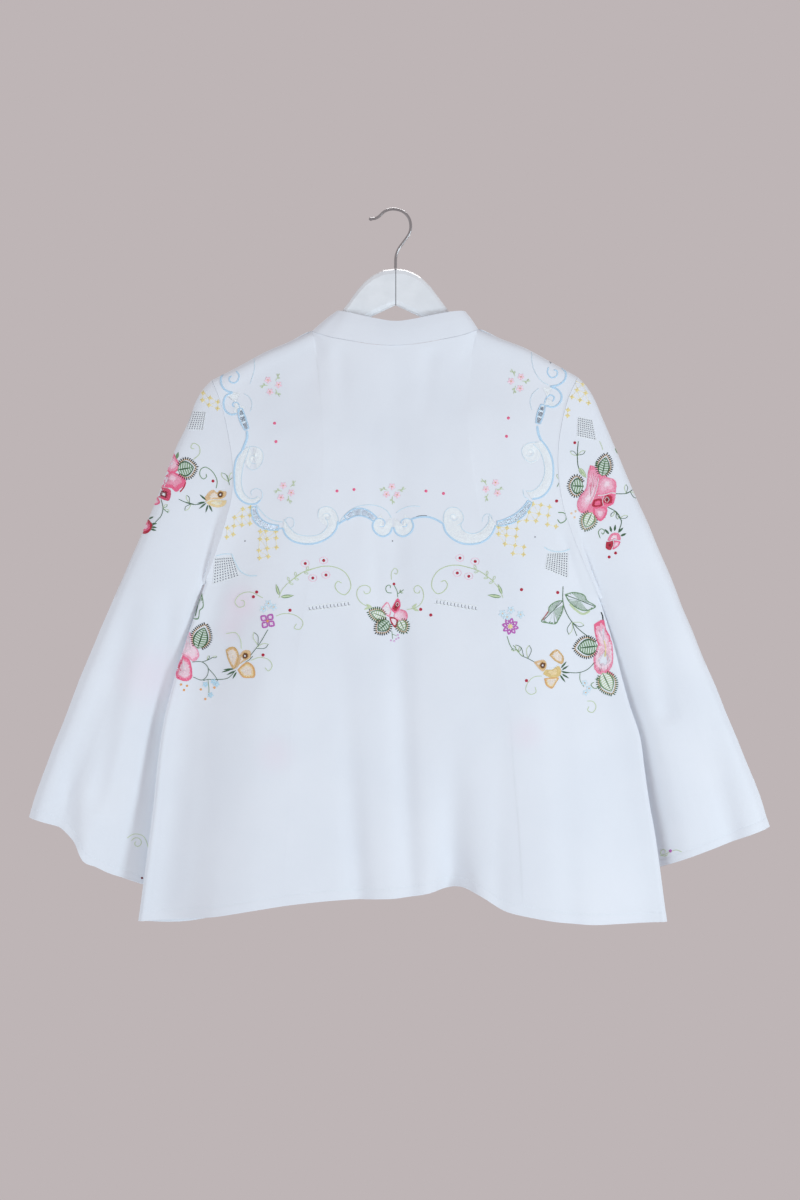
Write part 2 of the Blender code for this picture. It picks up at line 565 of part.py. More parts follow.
def collar():
    """Outer and inner grids of the stand, from one centre front round the back to the other."""
    tables = [(COLLAR_FRONT_LEFT, FRONT_NECK_STOPS, True), (COLLAR_BACK, BACK_NECK_STOPS, False),
              (COLLAR_FRONT_RIGHT, FRONT_NECK_STOPS, False)]
    feet, tops, normals = [], [], []
    for table, stops, turned in tables:
        foot, top = collar_points(table, stops)
        normal = collar_normals(foot, top)
        for end in (0, -1):
            if abs(foot[end, 1]) < HALF_GAP:
                normal[end] = clamp_side_normal(normal[end])
        if turned:
            foot, top, normal = foot[::-1], top[::-1], normal[::-1]
        skip = 0 if not feet else 1
        feet.append(foot[skip:])
        tops.append(top[skip:])
        normals.append(normal[skip:])
    foot, top, normal = np.vstack(feet), np.vstack(tops), np.vstack(normals)
    foot = foot + unit(top - foot) * HALF_GAP
    levels, bow = np.array(COLLAR_BOW).T
    outer = foot[None] + (top - foot)[None] * levels[:, None, None] + normal[None] * bow[:, None, None]
    return outer, offset_wall(outer, normal[None], COLLAR_CLOTH)


def link(name, vertices, faces, material):
    mesh = bpy.data.meshes.new(name)
    mesh.from_pydata((np.asarray(vertices) * MM).tolist(), [], [list(map(int, face)) for face in faces])
    body = bmesh.new()
    body.from_mesh(mesh)
    bmesh.ops.triangulate(body, faces=body.faces)
    bmesh.ops.recalc_face_normals(body, faces=body.faces)
    body.to_mesh(mesh)
    body.free()
    mesh.shade_smooth()
    mesh.set_sharp_from_angle(angle=np.radians(50))
    mesh.materials.append(material)
    item = bpy.data.objects.new(name, mesh)
    bpy.context.scene.collection.objects.link(item)
    return item


def wall(name, outer, inner, material, tube=False):
    """One closed solid between an outer and an inner grid of points, with rims along the open edges."""
    rows, columns = outer.shape[:2]
    vertices = np.vstack([outer.reshape(-1, 3), inner.reshape(-1, 3)])
    shift = rows * columns

    def at(row, column):
        return row * columns + column % columns

    faces = []
    for row in range(rows - 1):
        for column in range(columns if tube else columns - 1):
            quad = [at(row, column), at(row, column + 1), at(row + 1, column + 1), at(row + 1, column)]
            faces.append(quad)
            faces.append([index + shift for index in reversed(quad)])
    for row in (0, rows - 1):
        for column in range(columns if tube else columns - 1):
            a, b = at(row, column), at(row, column + 1)
            faces.append([a, b, b + shift, a + shift])
    if not tube:
        for column in (0, columns - 1):
            for row in range(rows - 1):
                a, b = at(row, column), at(row + 1, column)
                faces.append([a, b, b + shift, a + shift])
    return link(name, vertices, faces, material)


def swept(name, rings, material):
    """A solid through closed rings of points, with a flat cap at each end."""
    count, sides = rings.shape[:2]
    faces = []
    for ring in range(count - 1):
        for k in range(sides):
            a, b = ring * sides + k, ring * sides + (k + 1) % sides
            faces.append([a, b, b + sides, a + sides])
    faces.append(list(range(sides)))
    faces.append([(count - 1) * sides + k for k in range(sides)])
    return link(name, rings.reshape(-1, 3), faces, material)


def hanger(material):
    half = HANGER_THICK / 2
    rings = []
    for x, top, low in HANGER:
        round_off = min(half, (top - low) / 2)
        ring = []
        for angle in np.radians([0, 45, 90, 135, 180]):
            ring.append((x, half * np.cos(angle), top - round_off * (1 - np.sin(angle))))
        for angle in np.radians([180, 225, 270, 315, 360]):
            ring.append((x, half * np.cos(angle), low + round_off * (1 + np.sin(angle))))
        rings.append(ring)
    rings = np.array(rings)
    reach = np.minimum(rings[:, 0, 0] - HANGER[0][0], HANGER[-1][0] - rings[:, 0, 0])
    rings[:, :, 1] *= (HANGER_END + (1 - HANGER_END) * quarter_round(reach / HANGER_TAPER))[:, None]
    return swept("hanger", rings, material)


def hook(material):
    path = spline(HOOK, np.linspace(0, 1, HOOK_STEPS))
    run = unit(path[-1] - path[-2])
    centres = np.vstack([path] + [path[-1] + run * BALL_RADIUS * far for far, _ in BALL])
    radii = np.concatenate([np.full(len(path), WIRE_RADIUS), [BALL_RADIUS * size for _, size in BALL]])
    tangent = unit(np.gradient(centres, axis=0))
    angles = np.linspace(0, 2 * np.pi, HOOK_SIDES, endpoint=False)
    rings = []
    for (x, z), (run_x, run_z), radius in zip(centres, tangent, radii):
        side = radius * np.cos(angles)
        rings.append(np.column_stack([x - run_z * side, radius * np.sin(angles), z + run_x * side]))
    return swept("hook", np.array(rings), material)


def crescent_windows():
    """Outlines in x and z of the windows along each cut-out crescent, parted by bars of thread."""
    outlines = []
    for start, middle, end, width, windows in CUTWORK:
        start, middle, end = map(np.array, (start, middle, end))
        control = 2 * middle - (start + end) / 2

        def at(t):
            return (1 - t) ** 2 * start + 2 * t * (1 - t) * control + t * t * end

        length = sum(np.linalg.norm(at((k + 1) / 20) - at(k / 20)) for k in range(20))
        bar = CUTWORK_BAR / length / 2
        for window in range(windows):
            first = window / windows + bar
            last = (window + 1) / windows - bar
            upper, lower = [], []
            for t in np.linspace(first, last, 3):
                run = unit(at(t + 0.01) - at(t - 0.01))
                across = np.array([-run[1], run[0]])
                half = width / 2 * (CRESCENT_END + (1 - CRESCENT_END) * np.sin(np.pi * t))
                upper.append(at(t) + across * half)
                lower.append(at(t) - across * half)
            outlines.append(np.array(upper + lower[::-1]))
    return outlines


def cut_windows(panel, material):
    """Cuts every window straight through the back, along y."""
    vertices, faces = [], []
    for outline in crescent_windows():
        count = len(outline)
        base = len(vertices)
        for y in (WINDOW_NEAR, WINDOW_FAR):
            vertices += [(x, y, z) for x, z in outline]
        faces.append([base + k for k in range(count)])
        faces.append([base + count + k for k in range(count)])
        for k in range(count):
            other = (k + 1) % count
            faces.append([base + k, base + other, base + count + other, base + count + k])
    cutter = link("window_cutter", vertices, faces, material)
    cutter.hide_render = True
    cutter.display_type = "WIRE"
    modifier = panel.modifiers.new("windows", "BOOLEAN")
    modifier.operation = "DIFFERENCE"
    modifier.solver = "EXACT"
    modifier.object = cutter


def clear_scene():
    for item in list(bpy.data.objects):
        bpy.data.objects.remove(item)


def main():
    clear_scene()
    cotton = new_material("white_cotton", (0.86, 0.88, 0.92), 0.9)
    wood = new_material("white_wood", (0.85, 0.86, 0.88), 0.5)
    chrome = new_material("chrome_wire", (0.75, 0.75, 0.77), 0.15, 1.0)
    back = wall("back", *back_panel(), cotton)
    cut_windows(back, cotton)
    for side in ("left", "right"):
        wall(f"front_{side}", *front_panel(side), cotton)
        wall(f"sleeve_{side}", *sleeve(side), cotton, tube=True)
    wall("collar", *collar(), cotton)
    hanger(wood)
    hook(chrome)


main()
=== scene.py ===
"""The looks of a loose cotton jacket with a stand collar and bell sleeves, cut from an embroidered tablecloth
and hung on a wooden hanger. Lengths are in millimetres until a mesh is made, and the origin is the inside of the
hook's crest, as in the solid model."""

import math

import bmesh
import bpy
import numpy as np
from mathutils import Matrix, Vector
from mathutils.bvhtree import BVHTree


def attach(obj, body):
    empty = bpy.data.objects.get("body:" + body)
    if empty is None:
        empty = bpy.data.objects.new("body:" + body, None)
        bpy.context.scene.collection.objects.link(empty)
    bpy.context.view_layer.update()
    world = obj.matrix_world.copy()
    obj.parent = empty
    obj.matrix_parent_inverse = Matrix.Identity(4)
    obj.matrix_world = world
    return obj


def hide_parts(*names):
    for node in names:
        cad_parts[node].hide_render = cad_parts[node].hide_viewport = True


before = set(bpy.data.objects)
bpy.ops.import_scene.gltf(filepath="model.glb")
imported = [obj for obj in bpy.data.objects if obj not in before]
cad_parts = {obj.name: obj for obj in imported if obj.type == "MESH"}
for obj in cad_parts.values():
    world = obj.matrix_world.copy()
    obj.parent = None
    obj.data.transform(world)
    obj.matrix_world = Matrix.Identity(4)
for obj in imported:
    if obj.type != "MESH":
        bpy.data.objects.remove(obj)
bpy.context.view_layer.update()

MM = 0.001

# Driving sizes
SEAM_GAP = 0.3
HALF_GAP = SEAM_GAP / 2
NECK_GAP = 0.25
NECK_TURN = 0.3
NECK_TURN_DEPTH = 12.0
CENTRE_X = 4.8
FRONT_OPENING = 5.0
HEM_SAMPLES = 160
SPLINE_STEPS = 13

# Fold depth of the body at its flattened side edges
EDGE_DEPTH = 4.0
EDGE_TIP = 3.5
EDGE_SHELF = 28.0
EDGE_RISE = 95.0
SHELF_START = 25.0
SHELF_GROWTH = 130.0

# Troughs fade in past these distances from the top edge and the sides of a panel
CALM_TOP = 8.0
CALM_TOP_FADE = 40.0
CALM_SIDE = 12.0
CALM_SIDE_FADE = 30.0
TROUGH_FADE = 0.12
TROUGH_GROWTH = 1.5

# Rows and columns next to a panel's edges whose depth isn't evened
FIRM_ROWS = 4
FIRM_COLUMNS = 3
SOFTEN_ROUNDS = 2

# The rounded ridge along each shoulder
RIDGE_DEPTH = 10.0
RIDGE_FALL = 12.0
RIDGE_RISE = 110.0

# Columns: x, z along each shoulder, from the tip to the neck
SHOULDER = {
    "left": [(-215.4, -203.4), (-189.0, -190.2), (-154.2, -171.0), (-129.0, -160.2), (-95.4, -144.6)],
    "right": [(223.2, -199.8), (199.8, -186.6), (154.2, -162.1), (129.0, -153.0), (103.8, -142.2)],
}

# Columns: x, z down each armhole, from the shoulder tip to the underarm
ARMHOLE = {
    "left": [(-215.4, -203.4), (-202.2, -238.2), (-190.2, -303.0), (-190.5, -340.0), (-201.5, -385.0),
             (-223.8, -448.2)],
    "right": [(223.2, -199.8), (209.4, -232.2), (199.0, -290.0), (203.0, -345.0), (217.8, -393.0),
              (250.2, -467.4)],
}

# Columns: x, z down each side seam, from the underarm to the hem
SIDE = {
    "left": [(-223.8, -448.2), (-250.6, -528.6), (-263.8, -573.0), (-276.0, -626.4), (-286.0, -715.2),
             (-303.7, -852.6)],
    "right": [(250.2, -467.4), (268.8, -528.6), (282.1, -582.0), (297.6, -628.2), (306.6, -693.0),
              (317.4, -755.4), (330.6, -853.2)],
}

# Columns: x, z along the hem
HEM_BACK = [(-303.7, -852.6), (-261.5, -849.6), (-211.0, -843.8), (-142.2, -831.7), (-73.3, -823.8),
            (13.8, -820.4), (50.0, -814.6), (76.0, -808.4), (96.6, -813.2), (128.5, -833.4),
            (192.6, -848.2), (259.1, -854.3), (330.6, -853.2)]
HEM_FRONT = [(-303.7, -852.6), (-250.0, -854.0), (-211.0, -849.5), (-155.0, -836.0), (-73.0, -818.0),
             (4.8, -812.0), (70.0, -803.0), (130.0, -826.0), (192.0, -843.0), (259.0, -850.0),
             (330.6, -853.2)]

# Columns: x, y, z of the collar's foot, then x, y, z of its top edge, from side to side
COLLAR_BACK = [
    (-95.4, 0.0, -144.6, -66.0, 0.0, -121.2),
    (-93.0, -9.0, -146.6, -64.8, -7.5, -120.9),
    (-84.0, -14.0, -150.2, -59.0, -12.0, -121.8),
    (-66.0, -17.5, -154.8, -49.5, -14.5, -124.0),
    (-44.0, -19.8, -158.8, -34.5, -16.5, -127.6),
    (-20.0, -21.3, -162.6, -16.0, -17.5, -131.5),
    (4.2, -22.0, -163.8, 4.8, -18.5, -134.4),
    (28.0, -21.3, -162.0, 27.0, -17.5, -131.6),
    (52.0, -19.8, -158.0, 49.0, -16.5, -127.0),
    (75.0, -17.5, -153.2, 68.0, -14.5, -123.2),
    (93.0, -14.0, -148.4, 82.0, -12.0, -121.6),
    (101.6, -9.0, -144.4, 88.0, -7.5, -121.6),
    (103.8, 0.0, -142.2, 88.9, 0.0, -122.6),
]
COLLAR_FRONT_LEFT = [
    (-95.4, 0.0, -144.6, -66.0, 0.0, -121.2),
    (-93.6, 9.0, -146.4, -65.2, 7.5, -122.2),
    (-87.5, 14.5, -154.0, -61.0, 12.5, -128.5),
    (-74.0, 18.0, -171.5, -53.0, 16.0, -142.5),
    (-55.0, 20.8, -187.5, -41.0, 18.0, -157.0),
    (-28.0, 23.0, -199.5, -21.0, 20.0, -170.5),
    (3.8, 24.0, -204.5, 3.8, 21.0, -176.0),
]
COLLAR_FRONT_RIGHT = [
    (103.8, 0.0, -142.2, 88.9, 0.0, -122.6),
    (102.1, 9.0, -144.2, 88.0, 7.5, -123.6),
    (96.2, 14.5, -152.0, 82.5, 12.5, -129.5),
    (83.0, 18.0, -170.0, 71.5, 16.0, -143.0),
    (64.0, 20.8, -186.6, 54.0, 18.0, -157.0),
    (37.0, 23.0, -199.3, 32.0, 20.0, -170.5),
    (5.8, 24.0, -204.5, 5.8, 21.0, -176.0),
]

# Columns: share of the stand's height, how far its middle bows out
COLLAR_BOW = [(0.0, 0.0), (0.35, 0.8), (0.7, 0.9), (1.0, 0.0)]
COLLAR_MIDDLE_DROP = 60.0

# Fractions of each boundary where the panels have their columns and rows
SHOULDER_STOPS = [0.0, 0.016, 0.047, 0.15, 0.33, 0.54, 0.77, 1.0]
BACK_NECK_STOPS = [0.0, 0.043, 0.12, 0.245, 0.37, 0.49, 0.59, 0.66, 0.72, 0.79, 0.88, 0.957, 1.0]
FRONT_NECK_STOPS = [0.0, 0.07, 0.17, 0.32, 0.48, 0.64, 0.81, 1.0]
ARMHOLE_STOPS = [0.0, 0.007, 0.02, 0.045, 0.085, 0.14, 0.21, 0.29, 0.38, 0.48, 0.58, 0.68, 0.78, 0.87,
                 0.94, 0.98, 1.0]
SIDE_STOPS = [0.0, 0.03, 0.08, 0.15, 0.24, 0.33, 0.43, 0.53, 0.63, 0.73, 0.83, 0.92, 1.0]

# Columns: z, half depth of the back, half depth of the fronts
BODY_DEPTH = [(-140.0, 20.0, 20.0), (-220.0, 24.0, 25.0), (-300.0, 29.0, 28.0), (-400.0, 33.0, 31.0),
              (-550.0, 38.0, 34.0), (-700.0, 42.0, 38.0), (-855.0, 46.0, 41.0)]
ARMHOLE_DEPTH = 17.0
ARMHOLE_POWER = 2.3
# The way from an armhole into its sleeve, for the right side
SLEEVE_WAY = (1.0, 0.0, -0.12)

# Columns: x and z of a trough's top, x and z of its foot, depth at the top, depth at the foot, half width
BACK_TROUGHS = [
    (2.0, -168.0, 2.0, -480.0, 2.5, 3.5, 13.0),
    (4.0, -480.0, 48.0, -840.0, 3.5, 5.5, 17.0),
    (-86.0, -500.0, -42.0, -830.0, 1.0, 7.0, 20.0),
    (78.0, -600.0, 77.0, -850.0, 0.0, 24.0, 22.0),
    (122.0, -530.0, 138.0, -790.0, 1.0, 4.5, 18.0),
    (-100.0, -190.0, -142.0, -380.0, 1.5, 2.5, 16.0),
    (92.0, -190.0, 138.0, -380.0, 1.5, 2.5, 16.0),
    (226.0, -520.0, 277.0, -720.0, 1.0, 3.5, 11.0),
    (-226.0, -570.0, -256.0, -760.0, 1.0, 3.0, 11.0),
]
FRONT_TROUGHS = [
    (-58.0, -260.0, -92.0, -840.0, 1.5, 8.0, 20.0),
    (-150.0, -420.0, -190.0, -850.0, 1.0, 6.0, 18.0),
    (66.0, -260.0, 104.0, -840.0, 1.5, 7.0, 20.0),
    (160.0, -420.0, 214.0, -850.0, 1.0, 6.5, 18.0),
]

# Columns: x, z along each sleeve's outer edge, from the shoulder to the cuff
SLEEVE_OUTER = {
    "left": [(-215.4, -203.4), (-229.8, -219.0), (-243.0, -251.4), (-261.5, -291.0), (-284.5, -351.0),
             (-325.8, -445.8), (-372.6, -555.0), (-412.6, -657.0), (-430.3, -703.8), (-437.6, -729.6)],
    "right": [(223.2, -199.8), (238.2, -216.6), (257.4, -258.6), (285.0, -323.4), (322.2, -407.4),
              (366.6, -515.4), (402.0, -599.4), (442.2, -697.8), (456.6, -741.0)],
}

# Columns: x, y, z along each sleeve's inner edge, from the underarm to the cuff
SLEEVE_INNER = {
    "left": [(-223.8, 0.0, -448.2), (-229.0, 5.5, -454.0), (-232.5, 10.5, -464.0), (-234.5, 14.0, -480.0),
             (-237.0, 17.5, -505.0), (-241.0, 21.5, -550.0), (-247.5, 26.5, -640.0), (-257.0, 31.0, -730.0),
             (-268.0, 35.0, -819.0)],
    "right": [(250.2, 0.0, -467.4), (257.2, 5.5, -473.0), (260.2, 10.5, -483.0), (261.2, 14.0, -498.0),
              (262.6, 17.5, -522.0), (266.5, 21.5, -565.0), (276.5, 26.5, -640.0), (287.0, 31.0, -720.0),
              (298.0, 35.0, -798.6)],
}

# Columns: share of the way from the outer edge to the inner one, x, z of the cuff
CUFF = {
    "left": [(0.0, -437.6, -729.6), (0.25, -398.0, -741.5), (0.36, -383.0, -756.0), (0.44, -372.0, -780.0),
             (0.6, -341.0, -796.0), (0.8, -304.0, -809.5), (1.0, -268.0, -819.0)],
    "right": [(0.0, 456.6, -741.0), (0.25, 415.0, -756.5), (0.5, 375.0, -771.0), (0.75, 336.0, -785.5),
              (1.0, 298.0, -798.6)],
}

# Columns: share down the sleeve, half thickness there, y of the outer edge
SLEEVE_SIZE = [(0.0, 17.0, 0.0), (0.15, 19.0, 2.0), (0.4, 20.0, 8.0), (0.7, 20.0, 14.0), (1.0, 21.0, 20.0)]
SLEEVE_STOPS = [0.0, 0.022, 0.055, 0.1, 0.16, 0.24, 0.33, 0.43, 0.53, 0.64, 0.75, 0.86, 0.94, 1.0]
SLEEVE_POWER = 2.4
INNER_TIP = 0.75
INNER_TIP_START = 0.55
CAP_BLEND = 0.3
HEAD_FADE = 1.6 * CAP_BLEND
EVEN_SHARE = 0.55
CUFF_START = 0.6
CUFF_TROUGH_START = 0.3
FRONT_TROUGH_SHARE = 0.5
CUFF_FRONT_LIFT = 2.0

# Columns: share across from the outer edge, depth of the trough at the cuff, half width as a share
CUFF_TROUGHS = {
    "left": [(0.2, 9.0, 0.09), (0.42, -5.0, 0.08), (0.7, 4.0, 0.1)],
    "right": [(0.3, 3.0, 0.12), (0.6, -4.0, 0.15), (0.85, 4.0, 0.08)],
}

# Columns: x, z of the start, the middle and the end of a cut-out crescent, its width, its windows
CUTWORK = [
    ((-163.4, -358.5), (-156.0, -375.3), (-136.2, -381.4), 6.4, 5),
    ((-53.0, -369.1), (-37.1, -362.8), (-20.5, -370.7), 7.0, 4),
    ((127.9, -376.4), (149.2, -368.5), (163.8, -352.1), 6.4, 5),
    ((-179.9, -240.6), (-177.1, -251.5), (-172.3, -263.4), 5.6, 3),
    ((180.4, -236.2), (177.4, -245.5), (174.5, -256.5), 5.6, 3),
]
CUTWORK_BAR = 1.3
CRESCENT_END = 0.62
WINDOW_NEAR = -75.0
WINDOW_FAR = -4.0


def spline(points, stops):
    """Points on a smooth curve through the given ones, at the given shares of its length."""
    points = np.asarray(points, float)
    chord = np.linalg.norm(np.diff(points, axis=0), axis=1)
    knots = np.concatenate([[0.0], np.cumsum(np.sqrt(chord))])
    slopes = np.gradient(points, knots, axis=0)
    fine = np.unique(np.concatenate([np.linspace(a, b, SPLINE_STEPS) for a, b in zip(knots, knots[1:])]))
    index = np.clip(np.searchsorted(knots, fine, side="right") - 1, 0, len(knots) - 2)
    span = (knots[index + 1] - knots[index])[:, None]
    t = (fine[:, None] - knots[index][:, None]) / span
    start, end = points[index], points[index + 1]
    lead, lag = slopes[index] * span, slopes[index + 1] * span
    curve = ((2 * t**3 - 3 * t**2 + 1) * start + (t**3 - 2 * t**2 + t) * lead
             + (3 * t**2 - 2 * t**3) * end + (t**3 - t**2) * lag)
    length = np.concatenate([[0.0], np.cumsum(np.linalg.norm(np.diff(curve, axis=0), axis=1))])
    wanted = np.asarray(stops, float) * length[-1]
    return np.stack([np.interp(wanted, length, column) for column in curve.T], axis=1)


def smooth(share):
    share = np.clip(share, 0.0, 1.0)
    return share * share * (3 - 2 * share)


def quarter_round(share):
    """Rises from 0 to 1 as a quarter of a circle does."""
    share = np.clip(share, 0.0, 1.0)
    return np.sqrt(1 - (1 - share) ** 2)


def unit(vectors):
    return vectors / np.maximum(np.linalg.norm(vectors, axis=-1, keepdims=True), 1e-9)


def surface_normals(grid):
    return unit(np.cross(np.gradient(grid, axis=1), np.gradient(grid, axis=0)))


def lens(stops, power):
    """The half thickness of a flattened tube across its width, as a share of the largest."""
    return (1 - np.abs(2 * np.asarray(stops) - 1) ** power) ** (1 / power)


def armhole_points(side, front):
    """The seam between a panel and its sleeve, from the shoulder tip down to the underarm."""
    flat = spline(ARMHOLE[side], ARMHOLE_STOPS)
    depth = np.maximum(ARMHOLE_DEPTH * lens(ARMHOLE_STOPS, ARMHOLE_POWER), HALF_GAP)
    return np.column_stack([flat[:, 0], depth if front else -depth, flat[:, 1]])


def sleeve_way(side):
    """The way that a sleeve runs from its armhole."""
    away = np.array(SLEEVE_WAY) * ([-1.0, 1.0, 1.0] if side == "left" else 1.0)
    return away / np.linalg.norm(away)


def collar_points(table, stops):
    columns = spline(table, stops)
    return columns[:, :3], columns[:, 3:]


def collar_normals(foot, top):
    """The direction out of the stand at its foot."""
    tangent = np.gradient(foot, axis=0)
    normal = unit(np.cross(tangent, top - foot))
    middle = np.array([CENTRE_X, 0.0, foot[:, 2].mean() - COLLAR_MIDDLE_DROP])
    out = foot - middle
    normal = normal * np.where((normal * out).sum(axis=1) < 0, -1.0, 1.0)[:, None]
    # The panel below hangs straighter than the stand, so their shared rim turns part of the way to y
    normal[:, 1] += NECK_TURN * np.clip(foot[:, 1] / NECK_TURN_DEPTH, -1.0, 1.0)
    return unit(normal)


def clamp_side_normal(normal):
    """A shoulder or neck end lies on the fold between back and front, so its normal has no y."""
    return unit(normal * np.array([1.0, 0.0, 1.0]))


def trough_depth(troughs, x, z):
    total = np.zeros_like(x)
    for top_x, top_z, foot_x, foot_z, top_depth, foot_depth, width in troughs:
        share = (top_z - z) / (top_z - foot_z)
        begun = smooth((share + TROUGH_FADE) / (2 * TROUGH_FADE))
        unended = smooth((1 + TROUGH_FADE - share) / TROUGH_FADE)
        share = np.clip(share, 0.0, 1.0)
        line_x = top_x + (foot_x - top_x) * share
        depth = top_depth + (foot_depth - top_depth) * share**TROUGH_GROWTH
        total += depth * begun * unended * np.exp(-(((x - line_x) / width) ** 2))
    return total


def coons(top, bottom, left, right):
    """A sheet of x and z filled in between its four edges."""
    width = abs(top[-1, 0] - top[0, 0])
    u = (np.abs(top[:, 0] - top[0, 0]) / width)[None, :, None]
    v_left = (left[:, 1] - left[0, 1]) / (left[-1, 1] - left[0, 1])
    v_right = (right[:, 1] - right[0, 1]) / (right[-1, 1] - right[0, 1])
    v = (v_left[:, None] * (1 - u[0, :, 0])[None, :] + v_right[:, None] * u[0, :, 0][None, :])[:, :, None]
    across = (1 - v) * top[None] + v * bottom[None]
    down = (1 - u) * left[:, None] + u * right[:, None]
    corners = ((1 - u) * (1 - v) * top[0] + u * (1 - v) * top[-1]
               + (1 - u) * v * bottom[0] + u * v * bottom[-1])
    return across + down - corners


def panel_depth(x, z, side_gap, edge, below_underarm, top_gap, top_depth, column, troughs):
    """Half depth of a panel from its distances to its side edges and to its top edge."""
    deep = np.interp(-z, [-row[0] for row in BODY_DEPTH], [row[column] for row in BODY_DEPTH])
    shelf = np.maximum(edge, EDGE_DEPTH)
    flat = EDGE_SHELF * smooth((below_underarm + SHELF_START) / SHELF_GROWTH)
    rise = smooth((side_gap - flat) / EDGE_RISE)
    from_side = edge + (shelf - edge) * quarter_round(side_gap / EDGE_TIP) + (deep - shelf) * rise
    ridge = np.maximum(RIDGE_DEPTH, top_depth)
    from_top = top_depth + (ridge - top_depth) * quarter_round(top_gap / RIDGE_FALL)
    from_top = from_top + (deep - ridge) * smooth((top_gap - RIDGE_FALL) / RIDGE_RISE)
    depth = np.minimum(from_side, from_top)
    calm_top = smooth((top_gap - CALM_TOP) / CALM_TOP_FADE)
    calm_side = smooth((side_gap - CALM_SIDE) / CALM_SIDE_FADE)
    return depth - calm_top * calm_side * trough_depth(troughs, x, z)


def soften(depth):
    """Evens the depth inside a panel and leaves the rows near its edges alone."""
    for _ in range(SOFTEN_ROUNDS):
        inner = depth[1:-1, 1:-1]
        around = (depth[:-2, 1:-1] + depth[2:, 1:-1] + depth[1:-1, :-2] + depth[1:-1, 2:]) / 4
        blend = np.full_like(inner, 0.5)
        blend[:FIRM_ROWS] = 0.0
        blend[:, :FIRM_COLUMNS] = 0.0
        depth[1:-1, 1:-1] = inner + blend * (around - inner)
    return depth


def panel_side(side, front):
    """One long edge of a panel, armhole then side seam, and how far the seam holds it back."""
    arm = armhole_points(side, front)
    seam = spline(SIDE[side], SIDE_STOPS)
    y = HALF_GAP if front else -HALF_GAP
    points = np.vstack([arm, np.column_stack([seam[1:, 0], np.full(len(seam) - 1, y), seam[1:, 1]])])
    pull = np.zeros_like(points)
    pull[:len(arm)] = -sleeve_way(side) * HALF_GAP
    return points, pull


def back_panel():
    shoulder_left = spline(SHOULDER["left"], SHOULDER_STOPS)
    shoulder_right = spline(SHOULDER["right"], SHOULDER_STOPS)[::-1]
    foot, top = collar_points(COLLAR_BACK, BACK_NECK_STOPS)
    edge = np.vstack([shoulder_left, foot[1:-1][:, [0, 2]], shoulder_right])
    first_neck = len(shoulder_left) - 1
    last_neck = first_neck + len(foot) - 1
    edge_depth = np.full(len(edge), HALF_GAP)
    edge_depth[first_neck + 1:last_neck] = -foot[1:-1, 1]
    return build_panel(edge, edge_depth, HEM_BACK, panel_side("left", False), panel_side("right", False),
                       (first_neck, last_neck), unit(top - foot), False, BACK_TROUGHS)


def front_panel(side):
    shoulder = spline(SHOULDER[side], SHOULDER_STOPS)
    table = COLLAR_FRONT_LEFT if side == "left" else COLLAR_FRONT_RIGHT
    foot, top = collar_points(table, FRONT_NECK_STOPS)
    edge = np.vstack([shoulder, foot[1:][:, [0, 2]]])
    first_neck = len(shoulder) - 1
    edge_depth = np.full(len(edge), HALF_GAP)
    edge_depth[first_neck + 1:] = foot[1:, 1]
    return build_panel(edge, edge_depth, HEM_FRONT, panel_side(side, True), None,
                       (first_neck, len(edge) - 1), unit(top - foot), True, FRONT_TROUGHS)


def build_panel(edge, edge_depth, hem, first, last, neck, neck_up, front, troughs):
    """The outer grid of a panel. A panel with no last side seam ends at the centre front. The neck is its
    first and last column at the collar."""
    side, side_pull = first
    left = side[:, [0, 2]]
    if last is None:
        foot_x = CENTRE_X + np.sign(side[0, 0]) * FRONT_OPENING
        share = (left[:, 1] - left[0, 1]) / (left[-1, 1] - left[0, 1])
        hem_z = np.interp(foot_x, [p[0] for p in hem], [p[1] for p in hem])
        right = edge[-1] + share[:, None] * (np.array([foot_x, hem_z]) - edge[-1])
    else:
        right = last[0][:, [0, 2]]
    hem_share = (edge[:, 0] - edge[0, 0]) / (edge[-1, 0] - edge[0, 0])
    hem_x = left[-1, 0] + hem_share * (right[-1, 0] - left[-1, 0])
    fine = spline(hem, np.linspace(0, 1, HEM_SAMPLES))
    bottom = np.column_stack([hem_x, np.interp(hem_x, fine[:, 0], fine[:, 1])])
    bottom[0], bottom[-1] = left[-1], right[-1]
    flat = coons(edge, bottom, left, right)
    x, z = flat[..., 0], flat[..., 1]
    side_gap = np.abs(x - x[:, :1])
    depth_edge = np.repeat(np.abs(side[:, 1])[:, None], len(edge), axis=1)
    if last is not None:
        other_gap = np.abs(x - x[:, -1:])
        other_edge = np.repeat(np.abs(last[0][:, 1])[:, None], len(edge), axis=1)
        nearer = other_gap < side_gap
        side_gap = np.where(nearer, other_gap, side_gap)
        depth_edge = np.where(nearer, other_edge, depth_edge)
    top_gap = edge[None, :, 1] - z
    below_underarm = z[len(ARMHOLE_STOPS) - 1][None] - z
    depth = panel_depth(x, z, side_gap, depth_edge, below_underarm, top_gap, edge_depth[None],
                        2 if front else 1, troughs)
    depth[0] = edge_depth
    depth[:, 0] = np.abs(side[:, 1])
    if last is not None:
        depth[:, -1] = np.abs(last[0][:, 1])
    depth = soften(depth)
    outer = np.stack([x, depth if front else -depth, z], axis=2)
    pull = np.zeros_like(outer)
    pull[0, neck[0]:neck[1] + 1] = -neck_up * NECK_GAP
    pull[:, 0] = side_pull
    if last is not None:
        pull[:, -1] = last[1]
    return outer + pull


